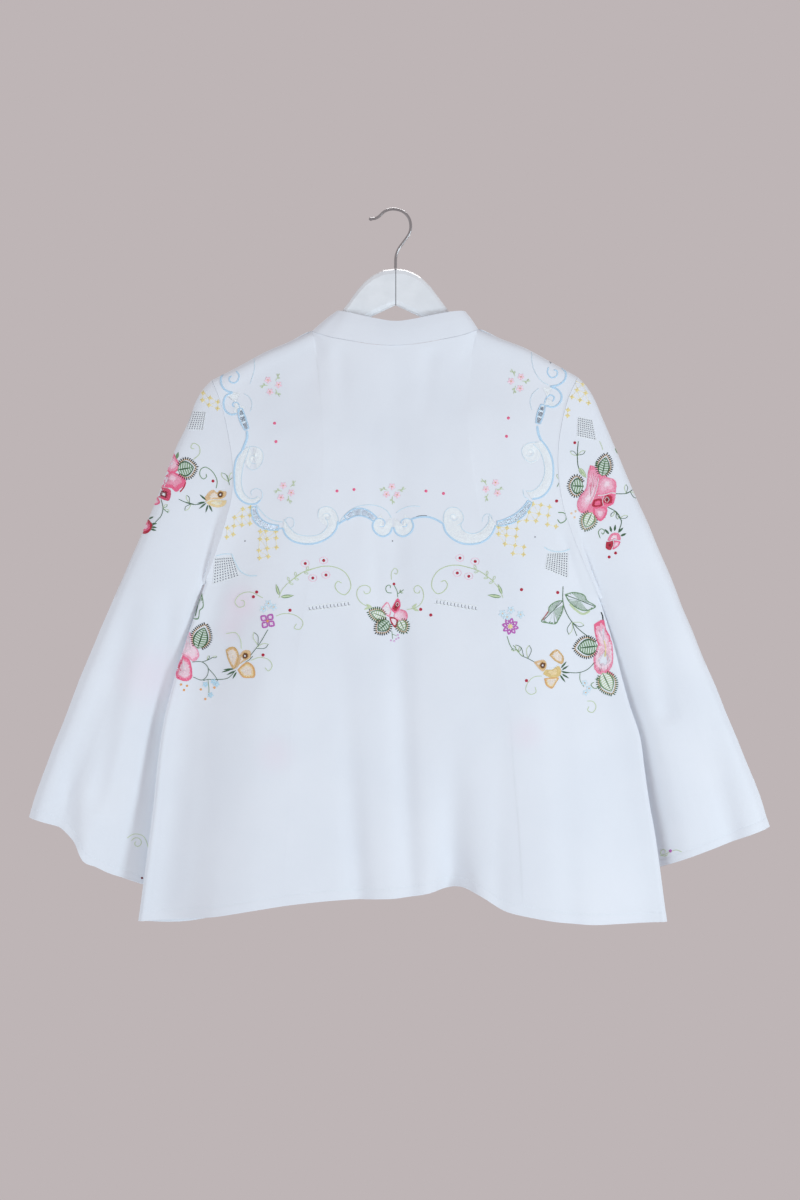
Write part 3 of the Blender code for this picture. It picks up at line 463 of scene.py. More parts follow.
def sleeve_rings(side):
    """Outer rings of a sleeve: across its back from the outer edge to the inner one, then round its front."""
    stops = np.array(ARMHOLE_STOPS)
    head = spline(ARMHOLE[side], ARMHOLE_STOPS)
    outer_line = spline(SLEEVE_OUTER[side], SLEEVE_STOPS)
    inner_line = spline(SLEEVE_INNER[side], SLEEVE_STOPS)
    cuff = CUFF[side]
    # The seam's stops crowd at its ends, and the cuff's spread out evenly
    even = np.linspace(0, 1, len(stops))
    rings = []
    for k, share in enumerate(SLEEVE_STOPS):
        blend = smooth(share / CAP_BLEND)
        place = stops + EVEN_SHARE * (even - stops) * blend
        half = np.interp(share, [row[0] for row in SLEEVE_SIZE], [row[1] for row in SLEEVE_SIZE])
        outer_y = np.interp(share, [row[0] for row in SLEEVE_SIZE], [row[2] for row in SLEEVE_SIZE])
        start = np.array([outer_line[k, 0], outer_y, outer_line[k, 1]])
        end = inner_line[k]
        middle = start + (end - start) * place[:, None]
        head_line = head[0] + (head[-1] - head[0]) * stops[:, None]
        middle[:, [0, 2]] += (1 - smooth(share / HEAD_FADE)) * (head - head_line)
        cuff_x = np.interp(place, [row[0] for row in cuff], [row[1] for row in cuff])
        cuff_z = np.interp(place, [row[0] for row in cuff], [row[2] for row in cuff])
        cuff_line = outer_line[-1] + (inner_line[-1][[0, 2]] - outer_line[-1]) * place[:, None]
        low = smooth((share - CUFF_START) / (1 - CUFF_START))
        middle[:, 0] += low * (cuff_x - cuff_line[:, 0])
        middle[:, 2] += low * (cuff_z - cuff_line[:, 1])
        head_half = ARMHOLE_DEPTH * lens(stops, ARMHOLE_POWER)
        thinner = smooth((place - INNER_TIP_START) / (1 - INNER_TIP_START))
        lower_half = half * lens(place, SLEEVE_POWER) * (1 - (1 - INNER_TIP) * thinner)
        thick = head_half + (lower_half - head_half) * blend
        trough = sum(deep * np.exp(-(((place - at) / width) ** 2)) for at, deep, width in CUFF_TROUGHS[side])
        grown = smooth((share - CUFF_TROUGH_START) / (1 - CUFF_TROUGH_START))
        trough = trough * grown * lens(place, 2.0)
        back = middle.copy()
        back[:, 1] += -thick + trough
        front = middle.copy()
        front[:, 1] += thick + FRONT_TROUGH_SHARE * trough
        front[:, 2] += CUFF_FRONT_LIFT * low * lens(place, 2.0)
        if k == 0:
            back = armhole_points(side, False)
            front = armhole_points(side, True)
            back[[0, -1], 1] = 0.0
        rings.append(np.vstack([back, front[-2:0:-1]]))
    return np.array(rings)


def sleeve(side):
    outer = sleeve_rings(side)
    outer[0] += sleeve_way(side) * HALF_GAP
    return outer


def collar():
    """The outer grid of the stand, from one centre front round the back to the other."""
    tables = [(COLLAR_FRONT_LEFT, FRONT_NECK_STOPS, True), (COLLAR_BACK, BACK_NECK_STOPS, False),
              (COLLAR_FRONT_RIGHT, FRONT_NECK_STOPS, False)]
    feet, tops, normals = [], [], []
    for table, stops, turned in tables:
        foot, top = collar_points(table, stops)
        normal = collar_normals(foot, top)
        for end in (0, -1):
            if abs(foot[end, 1]) < HALF_GAP:
                normal[end] = clamp_side_normal(normal[end])
        if turned:
            foot, top, normal = foot[::-1], top[::-1], normal[::-1]
        skip = 0 if not feet else 1
        feet.append(foot[skip:])
        tops.append(top[skip:])
        normals.append(normal[skip:])
    foot, top, normal = np.vstack(feet), np.vstack(tops), np.vstack(normals)
    foot = foot + unit(top - foot) * HALF_GAP
    levels, bow = np.array(COLLAR_BOW).T
    return foot[None] + (top - foot)[None] * levels[:, None, None] + normal[None] * bow[:, None, None]


def crescent_windows():
    """Outlines in x and z of the windows along each cut-out crescent, parted by bars of thread."""
    outlines = []
    for start, middle, end, width, windows in CUTWORK:
        start, middle, end = map(np.array, (start, middle, end))
        control = 2 * middle - (start + end) / 2

        def at(t):
            return (1 - t) ** 2 * start + 2 * t * (1 - t) * control + t * t * end

        length = sum(np.linalg.norm(at((k + 1) / 20) - at(k / 20)) for k in range(20))
        bar = CUTWORK_BAR / length / 2
        for window in range(windows):
            first = window / windows + bar
            last = (window + 1) / windows - bar
            upper, lower = [], []
            for t in np.linspace(first, last, 3):
                run = unit(at(t + 0.01) - at(t - 0.01))
                across = np.array([-run[1], run[0]])
                half = width / 2 * (CRESCENT_END + (1 - CRESCENT_END) * np.sin(np.pi * t))
                upper.append(at(t) + across * half)
                lower.append(at(t) - across * half)
            outlines.append(np.array(upper + lower[::-1]))
    return outlines


# The finer cloth
CELL = 4.4
TOP_CELL = 3.1
SHELL = 0.8
HEM_STITCH = 12.0
HEM_THICKER = 0.2
STITCH_SINK = 0.12
STITCH_DIP = 0.9
HEM_STEP = 1.4
SEAM_CLEAR = 1.6
SEAM_ROWS = (-1.3, -0.6, 0.0, 0.6, 1.3)
CREASE_CALM = 14.0
SHARP_ANGLE = math.radians(60)

# Swells of the cloth: how many waves, their lengths, the length that has the full height, and the heights
WAVES = 14
WAVE_SHORTEST = 28.0
WAVE_LONGEST = 120.0
WAVE_FULL = 90.0
PANEL_SWELL = 0.35
SLEEVE_SWELL = 0.4
FRONT_CREASE_SHARE = 0.5


def finer(knots, step):
    """Knots with more in between, so that none lie further apart than the step."""
    out = []
    for a, b in zip(knots, knots[1:]):
        out.extend(np.linspace(a, b, int(np.ceil((b - a) / step)) + 1)[:-1])
    return np.array(out + [knots[-1]])


def resample(values, knots, targets):
    """Smooth rows between the given ones."""
    slopes = np.gradient(values, knots, axis=0)
    index = np.clip(np.searchsorted(knots, targets, side="right") - 1, 0, len(knots) - 2)
    shape = (-1,) + (1,) * (values.ndim - 1)
    span = (knots[index + 1] - knots[index]).reshape(shape)
    t = (targets - knots[index]).reshape(shape) / span
    start, end = values[index], values[index + 1]
    lead, lag = slopes[index] * span, slopes[index + 1] * span
    return ((2 * t**3 - 3 * t**2 + 1) * start + (t**3 - 2 * t**2 + t) * lead
            + (3 * t**2 - 2 * t**3) * end + (t**3 - t**2) * lag)


def run_length(points):
    return np.concatenate([[0.0], np.cumsum(np.linalg.norm(np.diff(points, axis=0), axis=1))])


def with_hem_rows(rows):
    """Adds the rows of the hem's seam and drops the ones that crowd it."""
    seam = rows[-1] - HEM_STITCH
    kept = rows[np.abs(rows - seam) > SEAM_CLEAR]
    return np.sort(np.concatenate([kept, seam + np.array(SEAM_ROWS)]))


def unevenness(points, seed, size):
    """A low, smooth and irregular swell of the cloth, from a few waves laid across each other."""
    rng = np.random.default_rng(seed)
    total = np.zeros(points.shape[:-1])
    for _ in range(WAVES):
        angle = rng.uniform(0, np.pi)
        wavelength = rng.uniform(WAVE_SHORTEST, WAVE_LONGEST)
        phase = rng.uniform(0, 2 * np.pi)
        run = points[..., 0] * np.cos(angle) + points[..., 2] * np.sin(angle)
        total += np.sin(2 * np.pi * run / wavelength + phase) * wavelength / WAVE_FULL
    return size * total / np.sqrt(WAVES)


def edge_calm(rows, columns, closed):
    """0 at the edges of a grid, and 1 further in than the seams reach."""
    calm = smooth(np.minimum(rows, rows[-1] - rows) / CREASE_CALM)[:, None]
    if closed:
        return np.repeat(calm, len(columns), axis=1)
    return calm * smooth(np.minimum(columns, columns[-1] - columns) / CREASE_CALM)[None]


def hem_relief(rows):
    """The hem stands a little proud below its seam, which draws the cloth in."""
    seam = rows[-1] - HEM_STITCH
    proud = HEM_THICKER * smooth((rows - seam) / HEM_STEP)
    return proud - STITCH_SINK * np.exp(-(((rows - seam) / STITCH_DIP) ** 2))


def outward(grid, closed):
    """Unit directions out of the cloth, given that y is negative on backs and positive on fronts."""
    if closed:
        wrapped = np.concatenate([grid[:, -2:-1], grid, grid[:, 1:2]], axis=1)
        normals = surface_normals(wrapped)[:, 1:-1]
        centre = grid.mean(axis=1, keepdims=True)
        return normals * np.sign(((grid - centre) * normals).sum())
    normals = surface_normals(grid)
    return normals * np.sign((normals[..., 1] * grid[..., 1]).sum())


def fine_panel(outer, side, folds, seed):
    """A panel's outer points on a fine grid, with its creases."""
    down, across = run_length(side), run_length(outer[0])
    rows = with_hem_rows(finer(down, CELL))
    columns = finer(across, TOP_CELL)
    grid = resample(outer, down, rows)
    grid = resample(grid.transpose(1, 0, 2), across, columns).transpose(1, 0, 2)
    normals = outward(grid, False)
    calm = edge_calm(rows, columns, False)
    sides = smooth(np.minimum(columns, columns[-1] - columns) / CREASE_CALM)[None]
    sides = sides * smooth(rows / CREASE_CALM)[:, None]
    face = np.sign(grid[..., 1].mean())
    grid[..., 1] -= face * sides * trough_depth(folds, grid[..., 0], grid[..., 2])
    lift = calm * unevenness(grid, seed, PANEL_SWELL) + hem_relief(rows)[:, None]
    return grid + normals * lift[..., None]


def fine_sleeve(outer, folds, seed):
    """A sleeve's outer points on a fine grid, with creases behind and lighter ones in front."""
    closed = np.concatenate([outer, outer[:, :1]], axis=1)
    down = run_length(closed[:, 0])
    across = run_length(closed[0])
    rows = with_hem_rows(finer(down, CELL))
    columns = finer(across, CELL)
    grid = resample(closed, down, rows)
    ring = grid.transpose(1, 0, 2)
    # The ring closes on itself, so it is read past both its ends
    ring = np.concatenate([ring[-3:-1], ring, ring[1:3]])
    knots = np.concatenate([across[-3:-1] - across[-1], across, across[-1] + across[1:3]])
    grid = resample(ring, knots, columns).transpose(1, 0, 2)
    normals = outward(grid, True)
    calm = edge_calm(rows, columns, True)
    lift = calm * unevenness(grid, seed, SLEEVE_SWELL) + hem_relief(rows)[:, None]
    depth = smooth(rows / CREASE_CALM)[:, None] * trough_depth(folds, grid[..., 0], grid[..., 2])
    facing = np.where(normals[..., 1] < 0, 1.0, -FRONT_CREASE_SHARE) * normals[..., 1] ** 2
    grid[..., 1] += facing * depth
    grid = grid + normals * lift[..., None]
    return grid[:, :-1]


def new_object(name, vertices, faces, materials, indices=None, smooth_faces=True):
    mesh = bpy.data.meshes.new(name)
    mesh.from_pydata((np.asarray(vertices) * MM).tolist(), [], faces)
    for material in materials:
        mesh.materials.append(material)
    if indices is not None:
        mesh.polygons.foreach_set("material_index", np.asarray(indices, np.int32))
    if smooth_faces:
        mesh.shade_smooth()
    mesh.update()
    item = bpy.data.objects.new(name, mesh)
    bpy.context.scene.collection.objects.link(item)
    return item


def grid_faces(rows, columns, closed):
    r = np.arange(rows - 1)[:, None] * columns
    c = np.arange(columns if closed else columns - 1)[None]
    n = (c + 1) % columns
    return np.stack([r + c, r + n, r + columns + n, r + columns + c], axis=-1).reshape(-1, 4)


def shell(name, grid, material, closed=False):
    """One thin closed shell whose outer side is the grid."""
    rows, columns = grid.shape[:2]
    if closed:
        wrapped = np.concatenate([grid, grid[:, :1]], axis=1)
        normals = outward(wrapped, True)[:, :-1]
    else:
        normals = outward(grid, False)
    inner = grid - normals * SHELL
    count = rows * columns
    quads = grid_faces(rows, columns, closed)
    faces = [quads, quads[:, ::-1] + count]
    ring = np.arange(columns)
    follow = (ring + 1) % columns if closed else ring + 1
    if not closed:
        ring, follow = ring[:-1], follow[:-1]
    for base, turn in ((0, 1), ((rows - 1) * columns, -1)):
        rim = np.stack([base + follow, base + ring, base + ring + count, base + follow + count], axis=1)
        faces.append(rim[:, ::turn])
    if not closed:
        line = np.arange(rows - 1) * columns
        for base, turn in ((0, 1), (columns - 1, -1)):
            a, b = base + line, base + line + columns
            rim = np.stack([a, b, b + count, a + count], axis=1)
            faces.append(rim[:, ::turn])
    item = new_object(name, np.vstack([grid.reshape(-1, 3), inner.reshape(-1, 3)]),
                      np.vstack(faces).tolist(), [material])
    body = bmesh.new()
    body.from_mesh(item.data)
    bmesh.ops.recalc_face_normals(body, faces=body.faces)
    body.to_mesh(item.data)
    body.free()
    item.data.set_sharp_from_angle(angle=SHARP_ANGLE)
    return item


# Materials

def node_material(name, color, roughness, metallic=0.0):
    material = bpy.data.materials.new(name)
    material.use_nodes = True
    shader = material.node_tree.nodes["Principled BSDF"]
    shader.inputs["Base Color"].default_value = (*color, 1.0)
    shader.inputs["Roughness"].default_value = roughness
    shader.inputs["Metallic"].default_value = metallic
    return material, material.node_tree, shader


def object_point(tree):
    return tree.nodes.new("ShaderNodeTexCoord").outputs["Object"]


def noise(tree, point, scale, detail=2.0, rough=0.5):
    node = tree.nodes.new("ShaderNodeTexNoise")
    node.inputs["Scale"].default_value = scale
    node.inputs["Detail"].default_value = detail
    node.inputs["Roughness"].default_value = rough
    tree.links.new(point, node.inputs["Vector"])
    return node.outputs["Fac"]


def wave(tree, point, direction, scale, distortion=0.6):
    node = tree.nodes.new("ShaderNodeTexWave")
    node.bands_direction = direction
    node.inputs["Scale"].default_value = scale
    node.inputs["Distortion"].default_value = distortion
    node.inputs["Detail"].default_value = 1.0
    tree.links.new(point, node.inputs["Vector"])
    return node.outputs["Fac"]


def bump(tree, height, strength, distance, before=None):
    node = tree.nodes.new("ShaderNodeBump")
    node.inputs["Strength"].default_value = strength
    node.inputs["Distance"].default_value = distance
    tree.links.new(height, node.inputs["Height"])
    if before is not None:
        tree.links.new(before, node.inputs["Normal"])
    return node.outputs["Normal"]


def math_node(tree, operation, a, b):
    node = tree.nodes.new("ShaderNodeMath")
    node.operation = operation
    for socket, value in zip(node.inputs, (a, b)):
        if isinstance(value, (int, float)):
            socket.default_value = value
        else:
            tree.links.new(value, socket)
    return node.outputs[0]


def ramp(tree, factor, low, high, start=0.0, end=1.0):
    node = tree.nodes.new("ShaderNodeValToRGB")
    node.color_ramp.elements[0].position = start
    node.color_ramp.elements[0].color = (*low, 1.0)
    node.color_ramp.elements[1].position = end
    node.color_ramp.elements[1].color = (*high, 1.0)
    tree.links.new(factor, node.inputs["Fac"])
    return node.outputs["Color"]


# Painted show-through: faint pink patches in the cloth's colour, standing for the embroidery behind as light through
# the thin cloth would show it. Their place and reach in metres, and how much
PAINTED_SHOW_THROUGH = [
    ((-0.180, 0.0, -0.472), 0.032, 0.75), ((-0.192, 0.0, -0.500), 0.026, 0.5), ((-0.290, 0.0, -0.560), 0.055, 0.42),
    ((-0.138, 0.0, -0.650), 0.034, 0.34), ((0.160, 0.0, -0.626), 0.030, 0.34),
]


def painted_show_through(tree, point, color, place, reach, strength):
    """A faint pink patch with a soft edge: painted show-through of embroidery behind the cloth."""
    level = tree.nodes.new("ShaderNodeVectorMath")
    level.operation = "MULTIPLY"
    level.inputs[1].default_value = (1.0, 0.0, 1.0)
    tree.links.new(point, level.inputs[0])
    span = tree.nodes.new("ShaderNodeVectorMath")
    span.operation = "DISTANCE"
    span.inputs[1].default_value = place
    tree.links.new(level.outputs[0], span.inputs[0])
    fade = tree.nodes.new("ShaderNodeMapRange")
    fade.interpolation_type = "SMOOTHSTEP"
    fade.inputs["From Max"].default_value = reach
    fade.inputs["To Min"].default_value = strength
    fade.inputs["To Max"].default_value = 0.0
    tree.links.new(span.outputs["Value"], fade.inputs["Value"])
    mix = tree.nodes.new("ShaderNodeMix")
    mix.data_type = "RGBA"
    tree.links.new(fade.outputs["Result"], mix.inputs[0])
    tree.links.new(color, mix.inputs[6])
    mix.inputs[7].default_value = (0.82, 0.74, 0.83, 1.0)
    return mix.outputs[2]


def cotton_material():
    material, tree, shader = node_material("white_cotton_cloth", (0.80, 0.83, 0.88), 0.85)
    point = object_point(tree)
    weft = wave(tree, point, "Z", 520.0)
    warp = wave(tree, point, "X", 520.0)
    weave = math_node(tree, "MAXIMUM", weft, warp)
    slub = noise(tree, point, 260.0, 3.0)
    crinkle = noise(tree, point, 38.0, 4.0, 0.55)
    tint = noise(tree, point, 9.0, 3.0)
    color = ramp(tree, tint, (0.765, 0.815, 0.875), (0.80, 0.845, 0.90), 0.3, 0.7)
    # Painted show-through: faint pink patches where the embroidery behind would show by light through the cloth
    for place, reach, strength in PAINTED_SHOW_THROUGH:
        color = painted_show_through(tree, point, color, place, reach, strength)
    tree.links.new(color, shader.inputs["Base Color"])
    normal = bump(tree, crinkle, 0.35, 0.0012)
    normal = bump(tree, slub, 0.25, 0.0002, normal)
    normal = bump(tree, weave, 0.22, 0.00012, normal)
    tree.links.new(normal, shader.inputs["Normal"])
    shader.inputs["Sheen Weight"].default_value = 0.2
    shader.inputs["Sheen Roughness"].default_value = 0.6
    shader.inputs["Specular IOR Level"].default_value = 0.25
    return material


# The hanger's middle joint, in metres
JOINT_X = 0.0051
JOINT_HALF = 0.0006


def wood_material():
    material, tree, shader = node_material("white_painted_wood", (0.80, 0.83, 0.86), 0.4)
    point = object_point(tree)
    brush = noise(tree, point, 60.0, 4.0)
    color = ramp(tree, brush, (0.77, 0.81, 0.84), (0.82, 0.86, 0.89), 0.35, 0.65)
    # The joint of the two halves, a thin dark line down the middle
    axes = tree.nodes.new("ShaderNodeSeparateXYZ")
    tree.links.new(point, axes.inputs[0])
    from_joint = math_node(tree, "ABSOLUTE", math_node(tree, "SUBTRACT", axes.outputs[0], JOINT_X), 0.0)
    joint = math_node(tree, "LESS_THAN", from_joint, JOINT_HALF)
    mix = tree.nodes.new("ShaderNodeMix")
    mix.data_type = "RGBA"
    tree.links.new(joint, mix.inputs[0])
    tree.links.new(color, mix.inputs[6])
    mix.inputs[7].default_value = (0.25, 0.26, 0.28, 1.0)
    color = mix.outputs[2]
    tree.links.new(color, shader.inputs["Base Color"])
    tree.links.new(bump(tree, brush, 0.08, 0.0005), shader.inputs["Normal"])
    shader.inputs["Coat Weight"].default_value = 0.3
    shader.inputs["Coat Roughness"].default_value = 0.2
    return material


def chrome_material():
    material, tree, shader = node_material("chromed_wire", (0.42, 0.42, 0.43), 0.2, 1.0)
    point = object_point(tree)
    haze = noise(tree, point, 140.0, 3.0)
    node = tree.nodes.new("ShaderNodeMapRange")
    node.inputs["To Min"].default_value = 0.16
    node.inputs["To Max"].default_value = 0.32
    tree.links.new(haze, node.inputs["Value"])
    tree.links.new(node.outputs["Result"], shader.inputs["Roughness"])
    tree.links.new(bump(tree, haze, 0.05, 0.0002), shader.inputs["Normal"])
    return material


# Embroidery. Its layout is flat, in units of 1.2 mm: x to the right and y down, as the back is seen from EYE,
# the camera's place. On the fronts it is cast straight back from the depth FRONT_EYE
FRONT_EYE = 400.0
LONGEST_STITCH = 14.0
UNIT = 1.2
UNIT_X = 391.5
UNIT_Y = 210.5
EYE = (10.2, -3200.0, -467.4)
LINE_STEP = 0.9
PATCH_STEP = 0.75
RAGGED = 0.08
# The four rows of points along a thread: how far across they lie, in half widths, and their heights
LINE_ACROSS = np.array([-1.0, -0.5, 0.5, 1.0])
LINE_RISE = np.array([0.0, 1.0, 1.0, 0.0])

# A leaf is widest nearer its base, and its two ends don't close to nothing
LEAF_FULLEST = 2.882
LEAF_SWELL = 0.6
LEAF_END = 0.004
LEAF_SLANT = 0.22
HATCH_STEP = 1.05

THREADS = {
    "deep_red": (0.52, 0.020, 0.055), "dark_red": (0.20, 0.010, 0.022), "rose": (1.0, 0.16, 0.31),
    "pink": (1.0, 0.38, 0.53), "pale_pink": (1.0, 0.64, 0.75), "petal_pink": (0.93, 0.74, 0.82),
    "blush": (0.90, 0.80, 0.86), "black_green": (0.015, 0.025, 0.022), "dark_green": (0.055, 0.14, 0.065),
    "green": (0.19, 0.34, 0.17),
    "grey_green": (0.25, 0.36, 0.28), "mist": (0.66, 0.76, 0.72), "pale_green": (0.58, 0.70, 0.45),
    "yellow": (1.0, 0.80, 0.36), "cream": (0.93, 0.88, 0.70),
    "gold": (0.72, 0.47, 0.19), "orange": (0.90, 0.44, 0.16), "peach": (0.86, 0.64, 0.44),
    "brown": (0.15, 0.055, 0.02), "purple": (0.55, 0.14, 0.53), "mauve": (0.74, 0.50, 0.76),
    "blue": (0.52, 0.74, 0.96), "pale_blue": (0.66, 0.83, 0.97), "sky": (0.52, 0.76, 0.93),
    # From shade on, these threads are painted shade: their dark colours stand for the shade seen in holes, slots and
    # slits
    "white": (0.84, 0.90, 0.96), "shade": (0.13, 0.14, 0.17), "soft_shade": (0.15, 0.16, 0.19),
    "mid_shade": (0.22, 0.24, 0.28), "pale_shade": (0.33, 0.35, 0.40),
}
THREAD_NAMES = list(THREADS)


def thread_material(name, color):
    material, tree, shader = node_material(f"thread_{name}", color, 0.5)
    coordinates = tree.nodes.new("ShaderNodeTexCoord")
    ridges = wave(tree, coordinates.outputs["UV"], "X", 0.7, 0.4)
    tone = noise(tree, coordinates.outputs["Object"], 420.0, 2.0)
    both = math_node(tree, "ADD", math_node(tree, "MULTIPLY", ridges, 0.5), math_node(tree, "MULTIPLY", tone, 0.5))
    light = min(color) > 0.4
    low = tuple(channel * (0.94 if light else 0.78) for channel in color)
    high = tuple(min(1.0, channel * 1.12 + 0.004) for channel in color)
    tree.links.new(ramp(tree, both, low, high, 0.25, 0.75), shader.inputs["Base Color"])
    tree.links.new(bump(tree, ridges, 0.5, 0.0002), shader.inputs["Normal"])
    shader.inputs["Sheen Weight"].default_value = 0.15
    shader.inputs["Specular IOR Level"].default_value = 0.3
    return material


def heading(degrees):
    """A step of length 1 in the layout, at an angle from x towards y."""
    return np.array([np.cos(np.radians(degrees)), np.sin(np.radians(degrees))])


def leaf_half(t, width):
    """Half the width of a leaf at shares of its length."""
    return width / 2 * LEAF_FULLEST * (t + LEAF_END) ** LEAF_SWELL * (1 + LEAF_END - t)


def left_of(way):
    """Steps at a right angle to the given ones."""
    return np.stack([-way[..., 1], way[..., 0]], axis=-1)


class Stitches:
    """Threads laid out flat and then carried onto one piece of the cloth."""

    def __init__(self, name, grid, closed, front=False):
        rows, columns = grid.shape[:2]
        self.tree = BVHTree.FromPolygons(grid.reshape(-1, 3).tolist(), grid_faces(rows, columns, closed).tolist())
        self.name = name
        self.front = front
        self.points, self.heights, self.across, self.faces, self.threads = [], [], [], [], []
        self.count = 0
        self.random = np.random.default_rng(5)

    def sheet(self, flat, height, across, thread):
        rows, columns = flat.shape[:2]
        self.points.append(flat.reshape(-1, 2))
        self.heights.append(np.broadcast_to(height, (rows, columns)).reshape(-1))
        self.across.append(np.broadcast_to(across, (rows, columns)).reshape(-1))
        self.faces.append(grid_faces(rows, columns, False) + self.count)
        index = np.array([[THREAD_NAMES.index(thread)]]) if isinstance(thread, str) else thread
        self.threads.append(np.broadcast_to(index, (rows - 1, columns - 1)).reshape(-1))
        self.count += rows * columns

    def line(self, points, thread, width=0.9, height=0.35, closed=False, taper=0.5):
        points = np.asarray(points, float)
        if closed:
            points = np.vstack([points, points[:1]])
        length = np.linalg.norm(np.diff(points, axis=0), axis=1).sum()
        count = max(4, int(length / LINE_STEP) + 1)
        stops = np.linspace(0, 1, count)
        curve = spline(points, stops) if len(points) > 2 else points[0] + stops[:, None] * (points[1] - points[0])
        run = unit(np.gradient(curve, axis=0))
        side = left_of(run)
        ends = np.minimum(stops, 1 - stops) * length / max(width, 0.1)
        thin = np.ones(count) if closed else taper + (1 - taper) * quarter_round(ends)
        offsets = LINE_ACROSS * width / 2
        flat = curve[:, None] + side[:, None] * (offsets[None, :] * thin[:, None])[..., None]
        rise = LINE_RISE * height
        across = stops[:, None] * length * UNIT + offsets[None] * 0.8
        self.sheet(flat, rise[None] * thin[:, None] + 0.04, across, thread)

    def curl(self, x, y, radius, start, turns, thread, width=0.7):
        """A spiral that winds in on its centre."""
        t = np.linspace(0, 1, 14)
        angle = np.radians(start) + t * turns * 2 * np.pi
        reach = radius * (1 - 0.72 * t)
        self.line(np.column_stack([x + reach * np.cos(angle), y + reach * np.sin(angle)]), thread, width)

    def patch(self, outline, bands, focus=None, height=0.5):
        """Long and short stitches that run from an outline in to its focus. The bands give how far out each
        thread reaches, as a share."""
        outline = np.asarray(outline, float)
        closed = np.vstack([outline, outline[:1]])
        length = np.linalg.norm(np.diff(closed, axis=0), axis=1).sum()
        count = max(8, int(length / PATCH_STEP))
        curve = spline(closed, np.linspace(0, 1, count + 1))
        focus = outline.mean(axis=0) if focus is None else np.asarray(focus, float)
        limits = np.array([0.0] + [band[0] for band in bands])
        spread = RAGGED * self.random.uniform(-1, 1, (count, len(limits)))
        spread[:, 0] = 0.0
        spread[:, -1] *= 0.25
        share = np.clip(limits[None] + spread, 0.0, 1.03)
        pair = np.stack([curve[:-1], curve[1:]], axis=1)
        flat = focus + share[:, :, None, None] * (pair[:, None] - focus)
        rise = height * np.sqrt(np.clip(1.0 - (share / 1.04) ** 4, 0.0, 1.0)) + 0.05
        rows = [np.array([[THREAD_NAMES.index(band[place])] for band in bands]) for place in (1, -1)]
        run = np.linspace(0, 1, count + 1) * length * UNIT
        for k in range(count):
            self.sheet(flat[k], rise[k][:, None], run[[k, k + 1]][None], rows[k % 2])

    def leaf(self, base, tip, width, bands, bend=0.0, vein="dark_green", height=0.4, hatch=None):
        """Two rows of slanted stitches on each side of a vein."""
        base, tip = np.array(base, float), np.array(tip, float)
        length = np.linalg.norm(tip - base)
        run = (tip - base) / length
        side = left_of(run)
        count = max(6, int(length / HATCH_STEP))
        t = np.linspace(0, 1, count)
        spine = base + np.outer(t, tip - base) + np.outer(np.sin(np.pi * t) * bend, side)
        half = leaf_half(t, width)
        limits = np.array([0.0] + [share for share, _ in bands])
        threads = np.array([[THREAD_NAMES.index(name) for _, name in bands]])
        threads = np.repeat(threads, count - 1, axis=0)
        if hatch:
            place, first, second = hatch
            threads[::2, place] = THREAD_NAMES.index(first)
            threads[1::2, place] = THREAD_NAMES.index(second)
        for turn in (-1, 1):
            reach = half[:, None] * limits[None]
            slant = run * (LEAF_SLANT * reach)[..., None]
            flat = spine[:, None] + side * (turn * reach)[..., None] + slant
            rise = height * np.sqrt(np.clip(1.0 - (limits / 1.04) ** 4, 0, 1))[None] + 0.04
            self.sheet(flat, rise, t[:, None] * length * UNIT, threads)
        if vein:
            self.line(spine[: max(4, int(count * 0.92))], vein, 0.6, height + 0.15)

    def knot(self, x, y, radius, thread, height=0.6):
        angle = np.linspace(0, 2 * np.pi, 9)
        reach = radius * np.array([0.0, 0.6, 1.0])
        flat = np.stack([x + np.outer(reach, np.cos(angle)), y + np.outer(reach, np.sin(angle))], axis=-1)
        self.sheet(flat, np.array([[1.0], [0.8], [0.0]]) * height + 0.04, (angle * radius)[None], thread)

    def blossom(self, x, y, radius, petals, thread, heart, turn=0.0, width=0.8, inner=None):
        """A small flower of short satin petals round a knot."""
        for k in range(petals):
            way = heading(turn + 360 * k / petals)
            start = np.array([x, y]) + way * radius * 0.15
            bands = [(0.5, inner or thread), (1.0, thread)]
            self.leaf(start, start + way * radius * 0.9, radius * width, bands, vein=None)
        self.knot(x, y, radius * 0.26, heart)

    def knots(self, places, radius, thread, height=0.6):
        for x, y in places:
            self.knot(x, y, radius, thread, height)

    def blossoms(self, places, radius, petals, thread, heart, turn=0.0, width=0.8, inner=None):
        for x, y in places:
            self.blossom(x, y, radius, petals, thread, heart, turn, width, inner)

    def sepals(self, leaves, width, thread):
        """Plain narrow leaves, each from its base to its tip."""
        for base, tip in leaves:
            self.leaf(base, tip, width, [(1.0, thread)], vein=None)

    def star(self, x, y, petals, turn, reach, length, half, tip, bands):
        """Pointed petals round a middle. The reach is to a petal's widest part, and the tip is how far it ends
        past that."""
        for k in range(petals):
            way = heading(360 / petals * k + turn)
            side = left_of(way) * half
            middle = np.array([x, y]) + way * reach
            self.patch([middle - way * length, middle + side, middle + way * tip, middle - side], bands)

